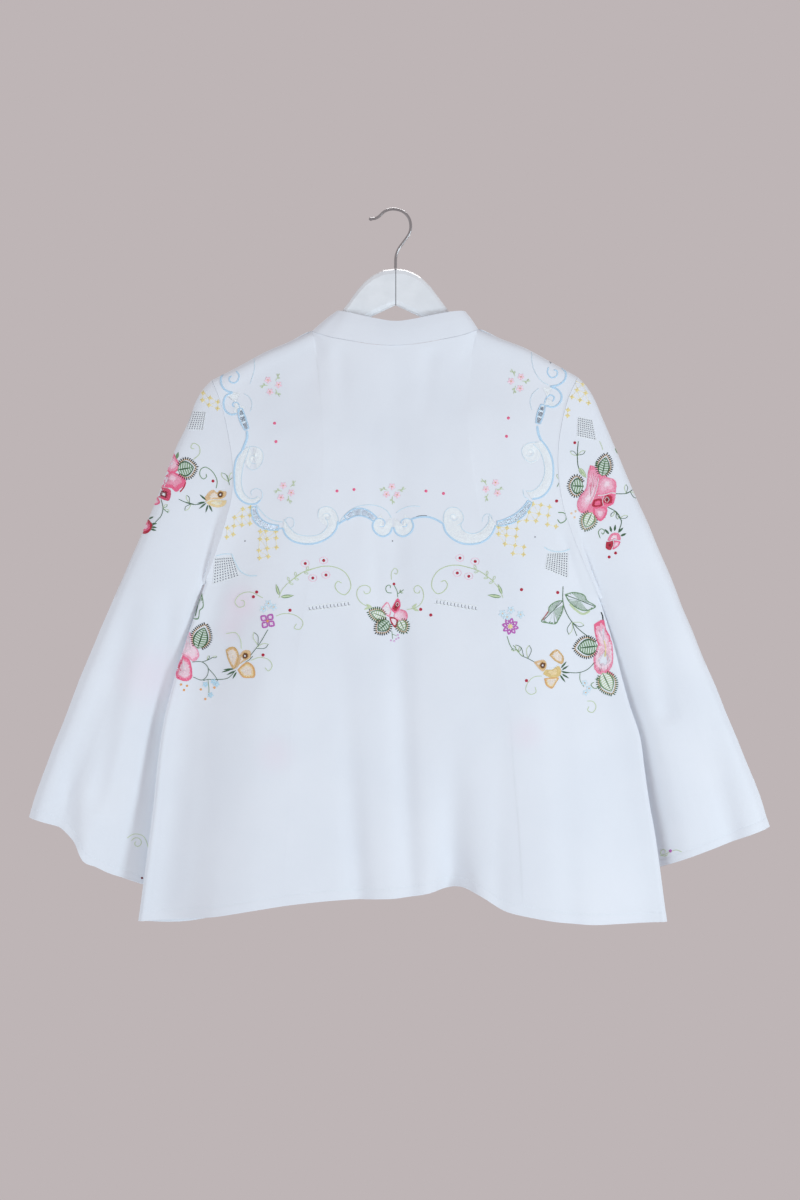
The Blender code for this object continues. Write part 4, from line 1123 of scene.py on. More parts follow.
    def twig(self, base, tip, leaves, thread="dark_green", pale="pale_green", size=6.0, bend=1.0):
        """A stem with narrow open leaves. Each leaf gives its share along the stem and its angle to it."""
        base, tip = np.array(base, float), np.array(tip, float)
        run = (tip - base) / np.linalg.norm(tip - base)
        side = left_of(run)
        middle = (base + tip) / 2 + side * bend
        self.line([base, middle, tip], thread, 0.65)
        for share, angle, *scale in leaves:
            ahead, aside = heading(angle)
            way = run * ahead + side * aside
            root = base + (tip - base) * share + side * bend * 2 * share * (1 - share)
            reach = size * (scale[0] if scale else 1.0)
            end = root + way * reach
            belly = root + way * reach * 0.65
            self.line([root, belly + left_of(way) * reach * 0.2, end], thread, 0.55)
            self.line([root, belly - left_of(way) * reach * 0.16, end], pale, 0.7)

    def net(self, corners, across, down, shade="soft_shade"):
        """Drawn-thread work: rows of small holes between raised white bars. The holes aren't cut; each is a flat dark
        sheet, painted shade for the dark seen through a hole.
        """
        a, b, c, d = (np.array(corner, float) for corner in corners)

        def place(u, v):
            return (1 - v) * ((1 - u) * a + u * b) + v * ((1 - u) * d + u * c)

        for row in range(down):
            for column in range(across):
                middle = place((column + 0.5) / across, (row + 0.5) / down)
                # Each hole is a flat dark sheet of painted shade
                cell = np.array([[(-0.5, -0.6), (0.5, -0.6)], [(-0.5, 0.6), (0.5, 0.6)]]) + middle
                self.sheet(cell, 0.07, 0.0, shade)
        for row in range(down + 1):
            self.line([place(0, row / down), place(1, row / down)], "white", 0.9, 0.3)
        for column in range(across + 1):
            self.line([place(column / across, 0), place(column / across, 1)], "white", 0.75, 0.35)

    def finish(self):
        """Carries every point onto the cloth, and leaves out what no cloth is under."""
        flat = np.vstack(self.points)
        heights = np.concatenate(self.heights)
        across = np.concatenate(self.across)
        faces = np.vstack(self.faces)
        threads = np.concatenate(self.threads)
        x = (flat[:, 0] - UNIT_X) * UNIT
        z = (UNIT_Y - flat[:, 1]) * UNIT
        placed = np.full((len(flat), 3), np.nan)
        eye = Vector(EYE)
        down = Vector((0.0, -1.0, 0.0))
        for k in range(len(flat)):
            if self.front:
                hit, normal, _, _ = self.tree.ray_cast(Vector((x[k], FRONT_EYE, z[k])), down)
            else:
                hit, normal, _, _ = self.tree.ray_cast(eye, Vector((x[k], 0.0, z[k])) - eye)
            if hit is None:
                continue
            if (normal.y > 0) != self.front:
                normal = -normal
            placed[k] = hit + normal * heights[k]
        kept = ~np.isnan(placed[faces]).any(axis=(1, 2))
        corner = placed[faces]
        span = np.linalg.norm(corner - corner[:, [1, 2, 3, 0]], axis=2).max(axis=1)
        kept &= span < LONGEST_STITCH
        faces, threads = faces[kept], threads[kept]
        used, renumbered = np.unique(faces, return_inverse=True)
        names = sorted(set(threads.tolist()))
        local = {index: place for place, index in enumerate(names)}
        item = new_object(self.name, placed[used], renumbered.reshape(-1, 4).tolist(),
                          [thread_materials[THREAD_NAMES[index]] for index in names],
                          [local[index] for index in threads.tolist()])
        layer = item.data.uv_layers.new(name="threads")
        corners = np.zeros((len(faces) * 4, 2))
        corners[:, 0] = across[faces.reshape(-1)]
        layer.data.foreach_set("uv", corners.reshape(-1).astype(np.float32))
        return item


thread_materials = {name: thread_material(name, color) for name, color in THREADS.items()}

# Bands: how far out each thread reaches from the middle, its name, and the one that takes turns with it
PINK_PETAL = [(0.34, "blush", "pale_pink"), (0.62, "pale_pink"), (0.84, "pink", "pale_pink"), (1.0, "rose", "pink")]
WHITE_PETAL = [(0.66, "blush", "white"), (0.84, "pale_pink", "blush"), (1.0, "rose", "pink")]
DEEP_PETAL = [(0.3, "pale_pink", "blush"), (0.62, "pink", "pale_pink"), (1.0, "rose")]
RED_PETAL = [(0.28, "dark_red"), (0.7, "deep_red"), (1.0, "rose")]
RED_BUD = [(0.22, "white"), (0.5, "dark_red"), (1.0, "deep_red", "rose")]
GOLD_PETAL = [(0.66, "white", "peach"), (0.8, "peach", "gold"), (1.0, "gold")]
ORANGE_PETAL = [(0.6, "white", "peach"), (0.78, "peach", "yellow"), (1.0, "gold", "orange")]
TAN_PETAL = [(0.5, "peach", "white"), (1.0, "gold", "peach")]
BROWN_HEART = [(0.22, "white"), (0.72, "brown"), (1.0, "gold")]
TOOTHED = [(0.1, "dark_green"), (0.86, "green"), (1.0, "dark_green")]
PALE_LEAF = [(0.1, "green"), (0.86, "pale_green"), (1.0, "green")]
HATCH = (1, "green", "mist")
PALE_HATCH = (1, "pale_green", "white")
TRELLIS_PITCH = 12.0
TOOTH_PITCH = 1.9
TOOTH_ROOT = 0.7
TOOTH = 2.5


def leaf_edge(base, tip, width, count=15):
    """Round a leaf from its base over the tip and back."""
    base, tip = np.array(base, float), np.array(tip, float)
    run = unit(tip - base)
    side = np.array([-run[1], run[0]])
    t = (1 - np.cos(np.linspace(0.12, 1, count) * np.pi)) / 2
    half = leaf_half(t, width)[:, None]
    spine = base + t[:, None] * (tip - base) + run * LEAF_SLANT * half
    return np.vstack([spine + side * half, (spine - side * half)[-2::-1]])


def toothed_leaf(work, base, tip, width, pale=False):
    """A hatched leaf inside a light band, with dark teeth that stand out all round."""
    base, tip = np.array(base, float), np.array(tip, float)
    inner = base + (tip - base) * 0.86
    edge = leaf_edge(base, tip, width)
    work.line(edge, "peach", 1.3, 0.3)
    work.leaf(base, inner, width * 0.8, PALE_LEAF if pale else TOOTHED, hatch=PALE_HATCH if pale else HATCH)
    work.line(leaf_edge(base, inner, width * 0.8), "green" if pale else "dark_green", 1.0, 0.5)
    length = run_length(edge)
    middle = edge.mean(axis=0)
    for at in np.arange(TOOTH_PITCH / 2, length[-1], TOOTH_PITCH):
        point = np.array([np.interp(at, length, column) for column in edge.T])
        ahead = np.array([np.interp(at + 0.8, length, column) for column in edge.T])
        back = np.array([np.interp(at - 0.8, length, column) for column in edge.T])
        out = unit(np.array([ahead[1] - back[1], back[0] - ahead[0]]))
        out = out * np.sign(out @ (point - middle))
        ends = [point - out * TOOTH_ROOT, point + out * TOOTH]
        work.line(ends, "dark_green" if pale else "black_green", 1.15, 0.55, taper=0.8)


def ivy(work, outline, vein, pale=None):
    """A lobed leaf of open hatching, with an outline and a vein."""
    work.patch(outline, [(0.92, "mist", "grey_green"), (1.0, "green", "grey_green")], np.mean(vein, axis=0), 0.35)
    work.line(outline, "green", 0.8, 0.45, closed=True)
    if pale:
        work.line(pale, "pale_green", 2.2, 0.5)
    work.line(vein, "dark_green", 0.7, 0.6)


def cluster(work, x, y, places, sprigs):
    """Three pale pink flowers and their green sprigs."""
    work.blossoms(places, 3.5, 5, "petal_pink", "orange", 20.0, 0.8, "pale_pink")
    for angle in sprigs:
        way = heading(angle)
        root = np.array([x, y]) + way * 5.0
        work.twig(root, root + way * 8.5, [(0.3, 45), (0.55, -45)], "pale_green", "pale_green", 3.2, 0.3)


def trellis(work, places):
    spots = np.array(places)
    for k, spot in enumerate(spots):
        for other in spots[k + 1:]:
            if np.linalg.norm(other - spot) < TRELLIS_PITCH:
                work.line([spot, other], "cream", 0.7, 0.25)
    for x, y in places:
        for angle in (0, 90):
            way = heading(angle + 8) * 2.6
            work.line([(x - way[0], y - way[1]), (x + way[0], y + way[1])], "yellow", 1.7, 0.45, taper=0.2)
        work.knot(x, y, 0.6, "gold", 0.45)


# Shares of the way across a scroll's band, and the heights there
SCROLL_SECTION = np.array([(0.0, 0.12, 0.5, 0.88, 1.0), (0.0, 0.3, 0.34, 0.3, 0.0)])


def scroll(work, outer, inner):
    """A raised pale band between a blue outline and a fainter inner line."""
    stops = np.linspace(0, 1, max(8, int(np.linalg.norm(np.diff(outer, axis=0), axis=1).sum() / 2.0)))
    a, b = spline(outer, stops), spline(inner, stops)
    share, rise = SCROLL_SECTION
    flat = a[:, None] + (b - a)[:, None] * share[None, :, None]
    work.sheet(flat, rise[None], (run_length(a) * UNIT)[:, None], "white")
    work.line(outer, "blue", 2.1, 0.6)
    work.line(inner, "pale_blue", 0.8, 0.42)


# The layout's x about which the two small scrolls at the middle mirror each other
MIDDLE = 393.0


def mirrored(points):
    return [(2 * MIDDLE - x, y) for x, y in points]


# Depth of the back where its windows are, in millimetres
BACK_DEPTH = -29.0


def left_cartouche(work):
    work.patch([(233, 366), (225, 371), (221, 378), (222, 386), (227, 391), (236, 392), (246, 388), (252, 378),
                (254, 366), (248, 361), (240, 363)], [(1.0, "white")], height=0.3)
    work.line([(233, 368), (225, 372), (221, 378), (222, 386), (227, 391), (233, 392.5)], "blue", 2.0, 0.6)
    work.line([(236, 371), (239, 375), (238, 380), (234, 383), (229.5, 381), (229.5, 377.5), (232, 376)], "blue", 1.5)
    work.line([(254, 358), (254.5, 368), (252, 378), (250, 384)], "pale_blue", 0.6)
    work.patch([(232, 392.5), (226, 396), (223.5, 403), (226, 410), (232, 414), (240, 411), (247, 406), (250, 399),
                (244, 393)], [(1.0, "white")], height=0.3)
    work.line([(233, 392.5), (226, 396), (223.5, 403), (225, 410), (231, 414.5), (237, 413.5)], "blue", 2.0, 0.6)
    work.line([(239, 412), (239.5, 407), (237.5, 403), (234, 402.5), (232.5, 405), (234.5, 407)], "blue", 1.5)
    work.line([(244, 393.5), (250, 398), (252, 405), (250, 412)], "pale_blue", 0.55)
    work.line([(247, 431), (247, 438), (244.5, 445), (242, 451)], "blue", 2.6, 0.6, taper=0.7)
    scroll(work, [(242, 451), (237, 458), (234.6, 468), (234.5, 480), (235.5, 491), (240, 499), (247, 503.5),
                  (256, 503.5), (260.5, 500)], [(250, 446), (247, 455), (244, 463), (242, 473), (241.5, 483),
                                                (243.5, 492), (249, 498), (255, 498.5), (258, 496)])
    work.patch([(250, 446), (258, 447), (263, 453), (262, 462), (257, 469), (250, 469), (246, 463), (246, 454)],
               [(1.0, "white")], height=0.28)
    work.line([(246, 447), (255, 446.5), (262, 451), (263, 459), (259, 467), (252, 470), (246, 466)], "pale_blue", 0.6)
    work.curl(253.5, 458.5, 5.4, 60, 0.9, "pale_blue", 0.6)
    work.line([(256, 503), (262, 498), (261.5, 491), (256, 488.5), (251, 491.5), (252, 495.5)], "pale_blue", 0.65)
    work.line([(256, 504), (261, 511), (267.5, 517.5), (275, 521), (283, 522)], "pale_blue", 1.0)
    work.line([(275, 529.5), (280, 528.5), (284, 528.5)], "blue", 1.6, 0.55)
    scroll(work, [(283, 528), (286, 535), (293, 541), (303, 543.6), (313, 543.6), (322, 541), (331, 535.5),
                  (336.5, 528), (338, 521)], [(284, 519), (290, 528), (297, 534), (305, 535.8), (313, 535.8),
                                              (320, 534), (325.5, 529.5), (328, 524), (325, 517)])
    work.patch([(318, 516), (320, 509), (327, 506.5), (335, 511), (338, 519), (335, 527), (328, 526), (321, 522)],
               [(1.0, "white")], height=0.28)
    work.line([(318, 518), (319, 510), (326, 506.5), (334, 510), (338, 518), (338, 524)], "pale_blue", 0.7)
    work.curl(327, 517.5, 4.8, 200, 1.0, "pale_blue", 0.6)
    work.line([(284, 522), (288, 517.5), (293.5, 519.5), (293.5, 526), (290, 528.5)], "pale_blue", 0.6)
    work.line([(338, 524.5), (342, 521.5), (346, 519.5)], "blue", 2.1, 0.6)
    work.line([(340, 521), (345, 515), (354, 508), (366, 505), (378, 506), (387, 511), (391.5, 518)], "pale_blue", 0.9)
    centre_curl(work, 1)


def centre_curl(work, way):
    """One of the two small scrolls that meet at the middle."""
    flip = (lambda points: points) if way > 0 else mirrored
    work.patch(flip([(375, 520), (373, 526), (375.5, 532), (382, 536), (389, 533.5), (392, 526), (391, 517),
                     (384, 513)]), [(1.0, "white")], height=0.3)
    work.line(flip([(374.5, 520), (372.6, 526), (375.5, 532.5), (382.5, 536.3), (389.5, 533.5), (392.4, 527)]),
              "blue", 2.0, 0.6)
    work.line(flip([(375, 519.5), (380.5, 518.5), (384.8, 521.5), (384, 526), (379.8, 526.4), (379, 523.5)]), "blue",
              1.2)


def right_cartouche(work):
    centre_curl(work, -1)
    work.line([(410.5, 519.6), (418, 517.2), (428, 517), (436, 519.5), (443, 523.5)], "blue", 2.1, 0.6)
    work.line([(396, 513), (403, 508.5), (412, 506), (420, 506.5)], "pale_blue", 0.8)
    # A thin line of painted shade where a narrow slit, not cut, shows the dark inside
    work.line([(411.5, 519), (419, 516), (427, 515.6)], "shade", 0.8, 0.3)
    scroll(work, [(443, 523), (446, 532), (453, 539), (462, 543.2), (473, 544), (483, 541.5), (491, 535), (496, 525)],
           [(461, 522), (461.5, 528), (466, 532), (473, 533.6), (480, 531.5), (485, 527), (488.5, 521.5), (489, 515)])
    work.patch([(444, 521), (445, 512), (451, 507.5), (459, 509.5), (463, 516.5), (461, 524), (454, 528), (447, 527)],
               [(1.0, "white")], height=0.28)
    work.line([(443.5, 522), (444, 514), (449, 508), (457, 508), (463, 515), (462.5, 522), (457, 525.5)], "pale_blue",
              0.7)
    work.curl(453.5, 516.5, 4.6, 20, 1.0, "pale_blue", 0.6)
    work.line([(482, 522), (484, 515.5), (489, 514), (492, 518), (490, 523)], "pale_blue", 0.6)
    work.line([(529, 502), (524, 510), (517, 517), (509, 521.5), (499, 522)], "pale_blue", 0.9)
    scroll(work, [(532, 499), (540, 497.5), (547, 492), (551.8, 483), (553.3, 471), (552, 459), (547.5, 448.5),
                  (541.5, 440.5)], [(526, 491), (532, 491), (538, 487), (542.5, 480.5), (544.8, 471), (543.5, 461),
                                    (540, 451.5), (533, 444)])
    work.patch([(533, 443), (524, 445), (521.5, 452), (525, 460), (532, 463.5), (539, 459), (541, 451), (538, 445)],
               [(1.0, "white")], height=0.28)
    work.line([(538, 442), (529, 443), (522, 449), (523.5, 457), (530, 462), (537, 460)], "pale_blue", 0.6)
    work.curl(530, 452, 5.0, 150, -0.9, "pale_blue", 0.6)
    work.line([(523, 489), (524, 496), (529, 499.5)], "pale_blue", 0.7)
    work.line([(541.5, 441), (538.5, 434), (537.2, 426)], "blue", 2.6, 0.6, taper=0.7)
    work.patch([(549, 387), (557, 389), (561.5, 395), (560, 402), (554, 406.5), (547, 405), (541, 407), (534, 403),
                (532, 395), (539, 388.5)], [(1.0, "white")], height=0.3)
    work.line([(546, 405.5), (553, 407), (559.5, 403), (561.6, 396), (557.5, 389.5), (550, 386.6)], "blue", 2.0, 0.6)
    work.line([(544.5, 404.5), (546, 398.5), (550.5, 395), (554.3, 397.5), (552.5, 401.5)], "blue", 1.5)
    work.line([(539, 388), (532.5, 394), (530, 402), (532, 410)], "pale_blue", 0.55)
    work.patch([(550, 386), (558, 385), (564.5, 380), (565.5, 373.5), (560, 367), (550, 361), (541, 359), (534, 362),
                (535, 372), (541, 381)], [(1.0, "white")], height=0.3)
    work.line([(550, 386.4), (558, 385), (564.5, 380), (565.8, 373), (560.5, 366.5), (552, 361.5)], "blue", 2.0, 0.6)
    work.line([(548.5, 367), (547.5, 373), (551.5, 377.6), (556.7, 375.7), (557, 371), (553.5, 369.8)], "blue", 1.5)
    work.line([(531.7, 352), (532, 362), (535, 372), (541, 380.5), (549, 385.5)], "pale_blue", 0.6)


# The blue edge of a crescent: how far past its ends it runs, as a share, its points, and how far outside it lies
EDGE_PAST = 0.04
EDGE_POINTS = 24
EDGE_OUTSIDE = 0.9


def window_edges(work):
    """Blue satin round every crescent of windows, and a wrapped thread on each bar."""
    for start, middle, end, width, windows in CUTWORK:
        start, middle, end = map(np.array, (start, middle, end))
        control = 2 * middle - (start + end) / 2
        t = np.linspace(-EDGE_PAST, 1 + EDGE_PAST, EDGE_POINTS)[:, None]
        line = (1 - t) ** 2 * start + 2 * t * (1 - t) * control + t * t * end
        across = left_of(unit(np.gradient(line, axis=0)))
        swell = CRESCENT_END + (1 - CRESCENT_END) * np.sin(np.pi * np.clip(t[:, 0], 0, 1))
        half = (width / 2 * swell + EDGE_OUTSIDE)[:, None]
        for turn in (-1, 1):
            work.line(on_layout(line + turn * across * half), "blue", 1.5, 0.7, taper=0.8)
        for k in (0, len(line) - 1):
            work.line(on_layout(np.array([line[k] - across[k] * half[k], line[k] + across[k] * half[k]])), "blue",
                      1.4, 0.7)
        for bar in range(1, windows):
            k = int(round((bar / windows + EDGE_PAST) / (1 + 2 * EDGE_PAST) * (EDGE_POINTS - 1)))
            ends = np.array([line[k] - across[k] * half[k], line[k] + across[k] * half[k]])
            work.line(on_layout(ends), "pale_blue", 0.9, 0.6, taper=1.0)


def on_layout(points):
    """Where points of the back, in x and z, lie in the layout as it is seen."""
    points = np.asarray(points, float)
    nearer = 1 + BACK_DEPTH / -EYE[1]
    eye = np.array([EYE[0], EYE[2]])
    seen = eye + (points - eye) / nearer
    return np.column_stack([seen[:, 0] / UNIT + UNIT_X, UNIT_Y - seen[:, 1] / UNIT])


def small_flowers(work):
    cluster(work, 273, 385, [(268, 380), (278.6, 384.8), (270, 391.8)], (-60, 60, 175))
    cluster(work, 517, 381, [(521, 376.8), (511, 381.2), (520, 388.4)], (-115, 0, 105))
    cluster(work, 287, 491, [(283.3, 485.5), (291.3, 492.7), (281, 497.5)], (-50, 75, 180))
    cluster(work, 490, 489, [(495.5, 482.6), (486, 489.2), (497.5, 493)], (-130, 0, 110))
    cluster(work, 392.5, 491, [(392, 486.5), (386.5, 494.3), (397.2, 494.8)], (-10, 90, 190))
    work.knots([(274.6, 423.2), (276, 441.6), (508.4, 418), (506.5, 436.3), (337, 491), (354, 489.5), (426, 491),
                (443.5, 493.5)], 1.6, "rose")
    trellis(work, [(242.8, 509), (250.4, 507.5), (234.4, 517.5), (242, 516.5), (250, 515.4), (227.4, 528), (234, 526),
                   (242, 525), (250, 523.5), (226.7, 537), (233.3, 534.4), (260.3, 531.5), (266, 530.8),
                   (275.8, 531.5), (260, 539), (267, 539.3), (276.2, 538), (267.3, 548.4), (276.5, 547.4),
                   (258.9, 550.5), (259.6, 558), (268.3, 556.5)])
    trellis(work, [(541, 505), (549.5, 507), (533, 504), (529, 512), (539, 514), (548, 515.5), (518, 521),
                   (526.5, 520.5), (536, 521), (547.5, 524.5), (556, 526.5), (498.5, 527), (507, 528), (517, 529),
                   (498.5, 534), (506.5, 535.5), (516, 536.5), (505, 544), (515, 545.5), (524, 547), (513, 553.5),
                   (523.5, 554.5)])
    # The nets' holes are flat dark sheets of painted shade
    work.net([(215, 558), (233, 557), (239, 576), (213, 584)], 9, 9, "mid_shade")
    work.net([(547.5, 553.5), (568, 552.5), (567.5, 578), (545, 568.5)], 9, 10)
    work.line([(231.6, 553.6), (235, 562), (240.4, 571), (248, 575.4), (257, 575.6)], "pale_blue", 1.5, 0.4)
    work.line([(216, 556), (224, 554), (231, 554)], "pale_blue", 1.1, 0.4)
    work.line([(544, 547), (549, 550), (556, 551.6), (563, 551.4), (570, 549)], "pale_blue", 1.5, 0.4)
    # Painted shade: three small dark dots and a short dark line of the shade thread
    work.knots([(245, 541), (535, 537), (392.5, 541)], 0.7, "shade", 0.3)
    work.line([(550.2, 360.2), (551, 363.5)], "shade", 2.4, 0.3)


def hemstitch(work, start, end, slots):
    """A ladder of small slots with white bars between them. The slots aren't cut; each is drawn as thin dark lines,
    painted shade for the dark seen through a slot.
    """
    start, end = np.array(start, float), np.array(end, float)
    run = (end - start) / np.linalg.norm(end - start)
    side = left_of(run)
    pitch = np.linalg.norm(end - start) / slots
    for k in range(slots):
        middle = start + run * pitch * (k + 0.5)
        # Each slot: thin dark lines of painted shade
        work.line([middle - side * 1.7, middle + side * 1.7], "shade", 0.6, 0.1)
        work.line([middle + side * 1.5, middle + side * 1.5 + run * pitch * 0.5], "soft_shade", 0.5, 0.1)
    for turn in (-2.2, 2.2):
        work.line([start + side * turn, end + side * turn], "white", 1.3, 0.4)


# The sum of the layout's x of a point on one garland and its match on the other
GARLAND_FLIP = 782.5


def garland(work, points, berries, flip):
    """A branch with two pairs of berries that ends in a curl."""
    shape = (lambda p: [(GARLAND_FLIP - x, y - 1.0) for x, y in p]) if flip else (lambda p: p)
    turn = -1 if flip else 1
    work.line(shape(points), "pale_green", 0.9)
    for x, y in berries:
        work.knot(x, y, 1.6, "deep_red")
        angle = np.linspace(0, 2 * np.pi, 9)[:-1]
        work.line(np.column_stack([x + 4.2 * np.cos(angle), y + 3.4 * np.sin(angle)]), "pale_pink", 0.6, 0.25, True)
    for base, tip, angle in [((288.3, 583), (293, 579.2), -75), ((293, 579.2), (302.3, 572.5), -60),
                             ((302.3, 572.5), (315.7, 568), -50)]:
        work.twig(*shape([base, tip]), [(0.3, turn * angle, 1.0), (0.1, -turn * angle * 0.8, 0.9)], "pale_green",
                  "pale_green", 5.5, 0.2)


def centre_rose(work):
    toothed_leaf(work, (385.5, 617.5), (369, 611.5), 11, True)
    toothed_leaf(work, (389, 621), (376.5, 632), 13.5)
    toothed_leaf(work, (399.5, 620), (405.5, 632), 10.5, True)
    work.patch([(381.2, 608), (387.2, 602), (390.2, 606.5), (391, 612.5), (388.8, 616.8), (384.2, 612.5)],
               WHITE_PETAL)
    work.patch([(394.8, 612.5), (400.8, 609.3), (406.8, 612.2), (407.4, 618.5), (403, 621.2), (397, 619.6),
                (393.7, 616.3)], PINK_PETAL, (396, 616))
    work.patch([(389.2, 616.5), (394.8, 617.8), (398.5, 621.5), (395.5, 627.8), (391, 623)],
               [(0.6, "blush"), (1.0, "deep_red")])
    work.patch([(391, 609.5), (394, 603.5), (397.8, 598.2), (400.6, 603.5), (399.2, 609.5), (394.6, 613)], RED_PETAL)
    work.line([(397.4, 606.6), (396, 604.6), (397.4, 602.2), (399, 604.4), (397.4, 606.6)], "white", 0.7, 0.8)
    work.line([(397.8, 597.5), (397.2, 591.5), (393.2, 583.5)], "green", 0.7)
    work.line([(391.5, 580), (391.5, 572.5), (395, 568.2), (397.8, 571), (396.3, 574.3), (393.9, 572.9)],
              "pale_green", 0.7)
    work.line([(392, 593), (387.3, 592.3), (385.8, 588.5), (387.3, 585.5), (390.3, 585.5), (390.3, 588.2)], "green",
              0.75)
    work.twig((397.4, 594), (403.8, 589.5), [(0.35, -40, 0.6), (0.4, 45, 0.6)], "green", "pale_green", 5.0, 0.3)
    work.knot(394, 584, 1.5, "deep_red")
    work.line([(381.3, 609.5), (370, 607.3), (360.3, 602), (356.8, 594.5), (358.8, 587.8), (364.8, 585.2),
               (370, 587.8), (369.7, 592.3), (365.5, 593.8), (363.6, 591)], "pale_green", 0.8)
    work.line([(406.8, 609.5), (415, 608), (421, 603.5), (423.7, 596), (421.8, 588.5), (418, 585.5), (414.3, 587.8),
               (415, 592.3), (418.8, 593), (420, 590.4)], "pale_green", 0.8)
    work.sepals([((372, 608), (366, 604)), ((370, 607.3), (364, 609.5)), ((413, 608.6), (419, 611)),
                 ((412, 608.3), (417, 603.5))], 2.4, "pale_green")
    work.line([(391.8, 631), (392.6, 639)], "green", 0.6)
    work.line([(392, 634), (397, 636)], "green", 0.5)
    work.knots([(397.8, 635), (398.6, 638), (391, 640.4), (394.2, 641.2), (396.2, 639)], 1.1, "mauve")


def gold_bloom(work, petals, heart, sepals, stem):
    work.line(stem, "dark_green", 0.7)
    work.sepals(sepals, 1.7, "dark_green")
    for outline, bands in petals:
        work.patch(outline, bands)
    x, y = heart
    work.patch([(x - 3.8, y + 0.4), (x - 0.6, y - 3.8), (x + 3.8, y - 1.6), (x + 2.4, y + 3.6), (x - 1.6, y + 3.8)],
               BROWN_HEART, None, 1.0)


def left_side_flowers(work):
    ivy(work, [(201.7, 592.4), (200, 599), (195.8, 607.5), (193.4, 618), (198, 619), (199.8, 610.4), (203, 607.5)],
        [(200.6, 596), (197.6, 607), (195.4, 616)])
    work.patch([(187.6, 630), (191, 634), (192.5, 644), (198, 650), (199, 657), (194, 661.5), (187, 657), (182, 654),
                (184, 646)], [(0.6, "blush", "pale_pink"), (0.82, "pale_pink"), (1.0, "pink")])
    work.patch([(183, 655), (189, 659), (191.8, 668), (191.6, 678), (187, 681), (180, 680), (176, 677), (178, 666)],
               [(0.66, "white", "pink"), (0.8, "pink", "rose"), (1.0, "rose")])
    work.line([(182, 661), (179, 668), (182, 672), (178, 678)], "deep_red", 1.5)
    toothed_leaf(work, (197.5, 648.5), (205.5, 624.5), 17.5)
    work.knots([(181, 684.5), (187, 685.8), (184, 690)], 1.3, "orange")
    work.line([(192, 662), (202, 662), (208, 667.5), (207, 676), (202, 680), (193, 677)], "dark_green", 0.65)
    work.twig((202, 662), (213.5, 657), [(0.45, -42, 0.8), (0.9, 8, 0.8)], "dark_green", "pale_green", 6.0, 0.5)
    work.line([(208, 668), (215, 676), (218, 681)], "dark_green", 0.6)
    work.line([(203, 680.5), (208, 679.5), (218, 679.5), (228, 678), (236, 670)], "dark_green", 0.65)
    work.line([(208, 679.5), (209, 690), (208.5, 696)], "green", 0.6)
    for x, y, tone in [(205.5, 684.5, "sky"), (210.5, 695, "sky"), (213.5, 681.5, "sky"), (216.5, 684, "sky")]:
        work.blossom(x, y, 3.0, 5, tone, "pale_blue", 10.0, 0.7)
    work.knots([(200.8, 689.4), (214.4, 687.6), (205.4, 699)], 1.3, "orange")
    work.twig((250, 656), (268, 629.5), [(0.42, -52, 1.5), (0.3, 38, 1.5)], "dark_green", "pale_green", 9.0, 1.0)
    work.star(267.6, 621.0, 4, 35, 4.6, 4.2, 3.6, 4.0, [(0.5, "white", "mauve"), (1.0, "purple")])
    work.knot(267.6, 621.0, 1.7, "orange")
    work.blossoms([(263.5, 609.0), (273.5, 607.0), (268.5, 603.5)], 3.8, 5, "pale_blue", "peach", 15.0, 0.65)
    gold_bloom(work, [([(225.6, 650), (230, 647), (235, 647.4), (238.8, 654), (238, 662), (234, 669.4),
                        (228.4, 660.6)], GOLD_PETAL),
                      ([(239.6, 655), (244, 650.4), (250, 650.8), (250.4, 657.4), (243, 662), (236.6, 668.6)],
                       TAN_PETAL),
                      ([(237.4, 670), (242, 665), (248, 662), (254.2, 667.4), (254.6, 677), (249, 678),
                        (243, 677.4)], ORANGE_PETAL)],
               (245.3, 655.6), [((234, 669), (223, 669.6)), ((235, 671), (226.5, 675)), ((236.5, 672), (232.6, 679)),
                                ((232, 669), (221.5, 672.4))],
               [(253, 656), (249, 660), (245, 662.4)])
    work.line([(237, 668.6), (240.6, 664.4), (246, 661.4), (250.4, 658)], "white", 0.9, 0.8)
    work.line([(263, 598), (250, 592), (240, 594.6), (235, 602), (239, 607.2), (244.4, 605.4), (244, 601),
               (240.6, 600.2)], "pale_green", 0.75)
    work.line([(226, 633.6), (236, 633), (240.5, 640), (241.4, 649)], "pale_green", 0.75)
    work.line([(251, 660.5), (260, 657.4), (269, 660), (272.2, 666), (268.4, 671), (265, 667.6)], "pale_green", 0.75)
    work.line([(288, 583), (282, 590), (279, 598)], "pale_green", 0.7)
    work.leaf((279, 595), (276, 584), 3.0, [(0.5, "pale_green"), (1.0, "green")], vein=None)
    work.leaf((281, 597), (294, 595.5), 3.4, [(0.5, "pale_green"), (1.0, "green")], vein=None)
    work.line([(276, 616), (284, 613.6), (296, 615.6), (303, 622.5), (300, 629.2), (294.4, 628.2), (296.6, 623.6)],
              "pale_green", 0.75)


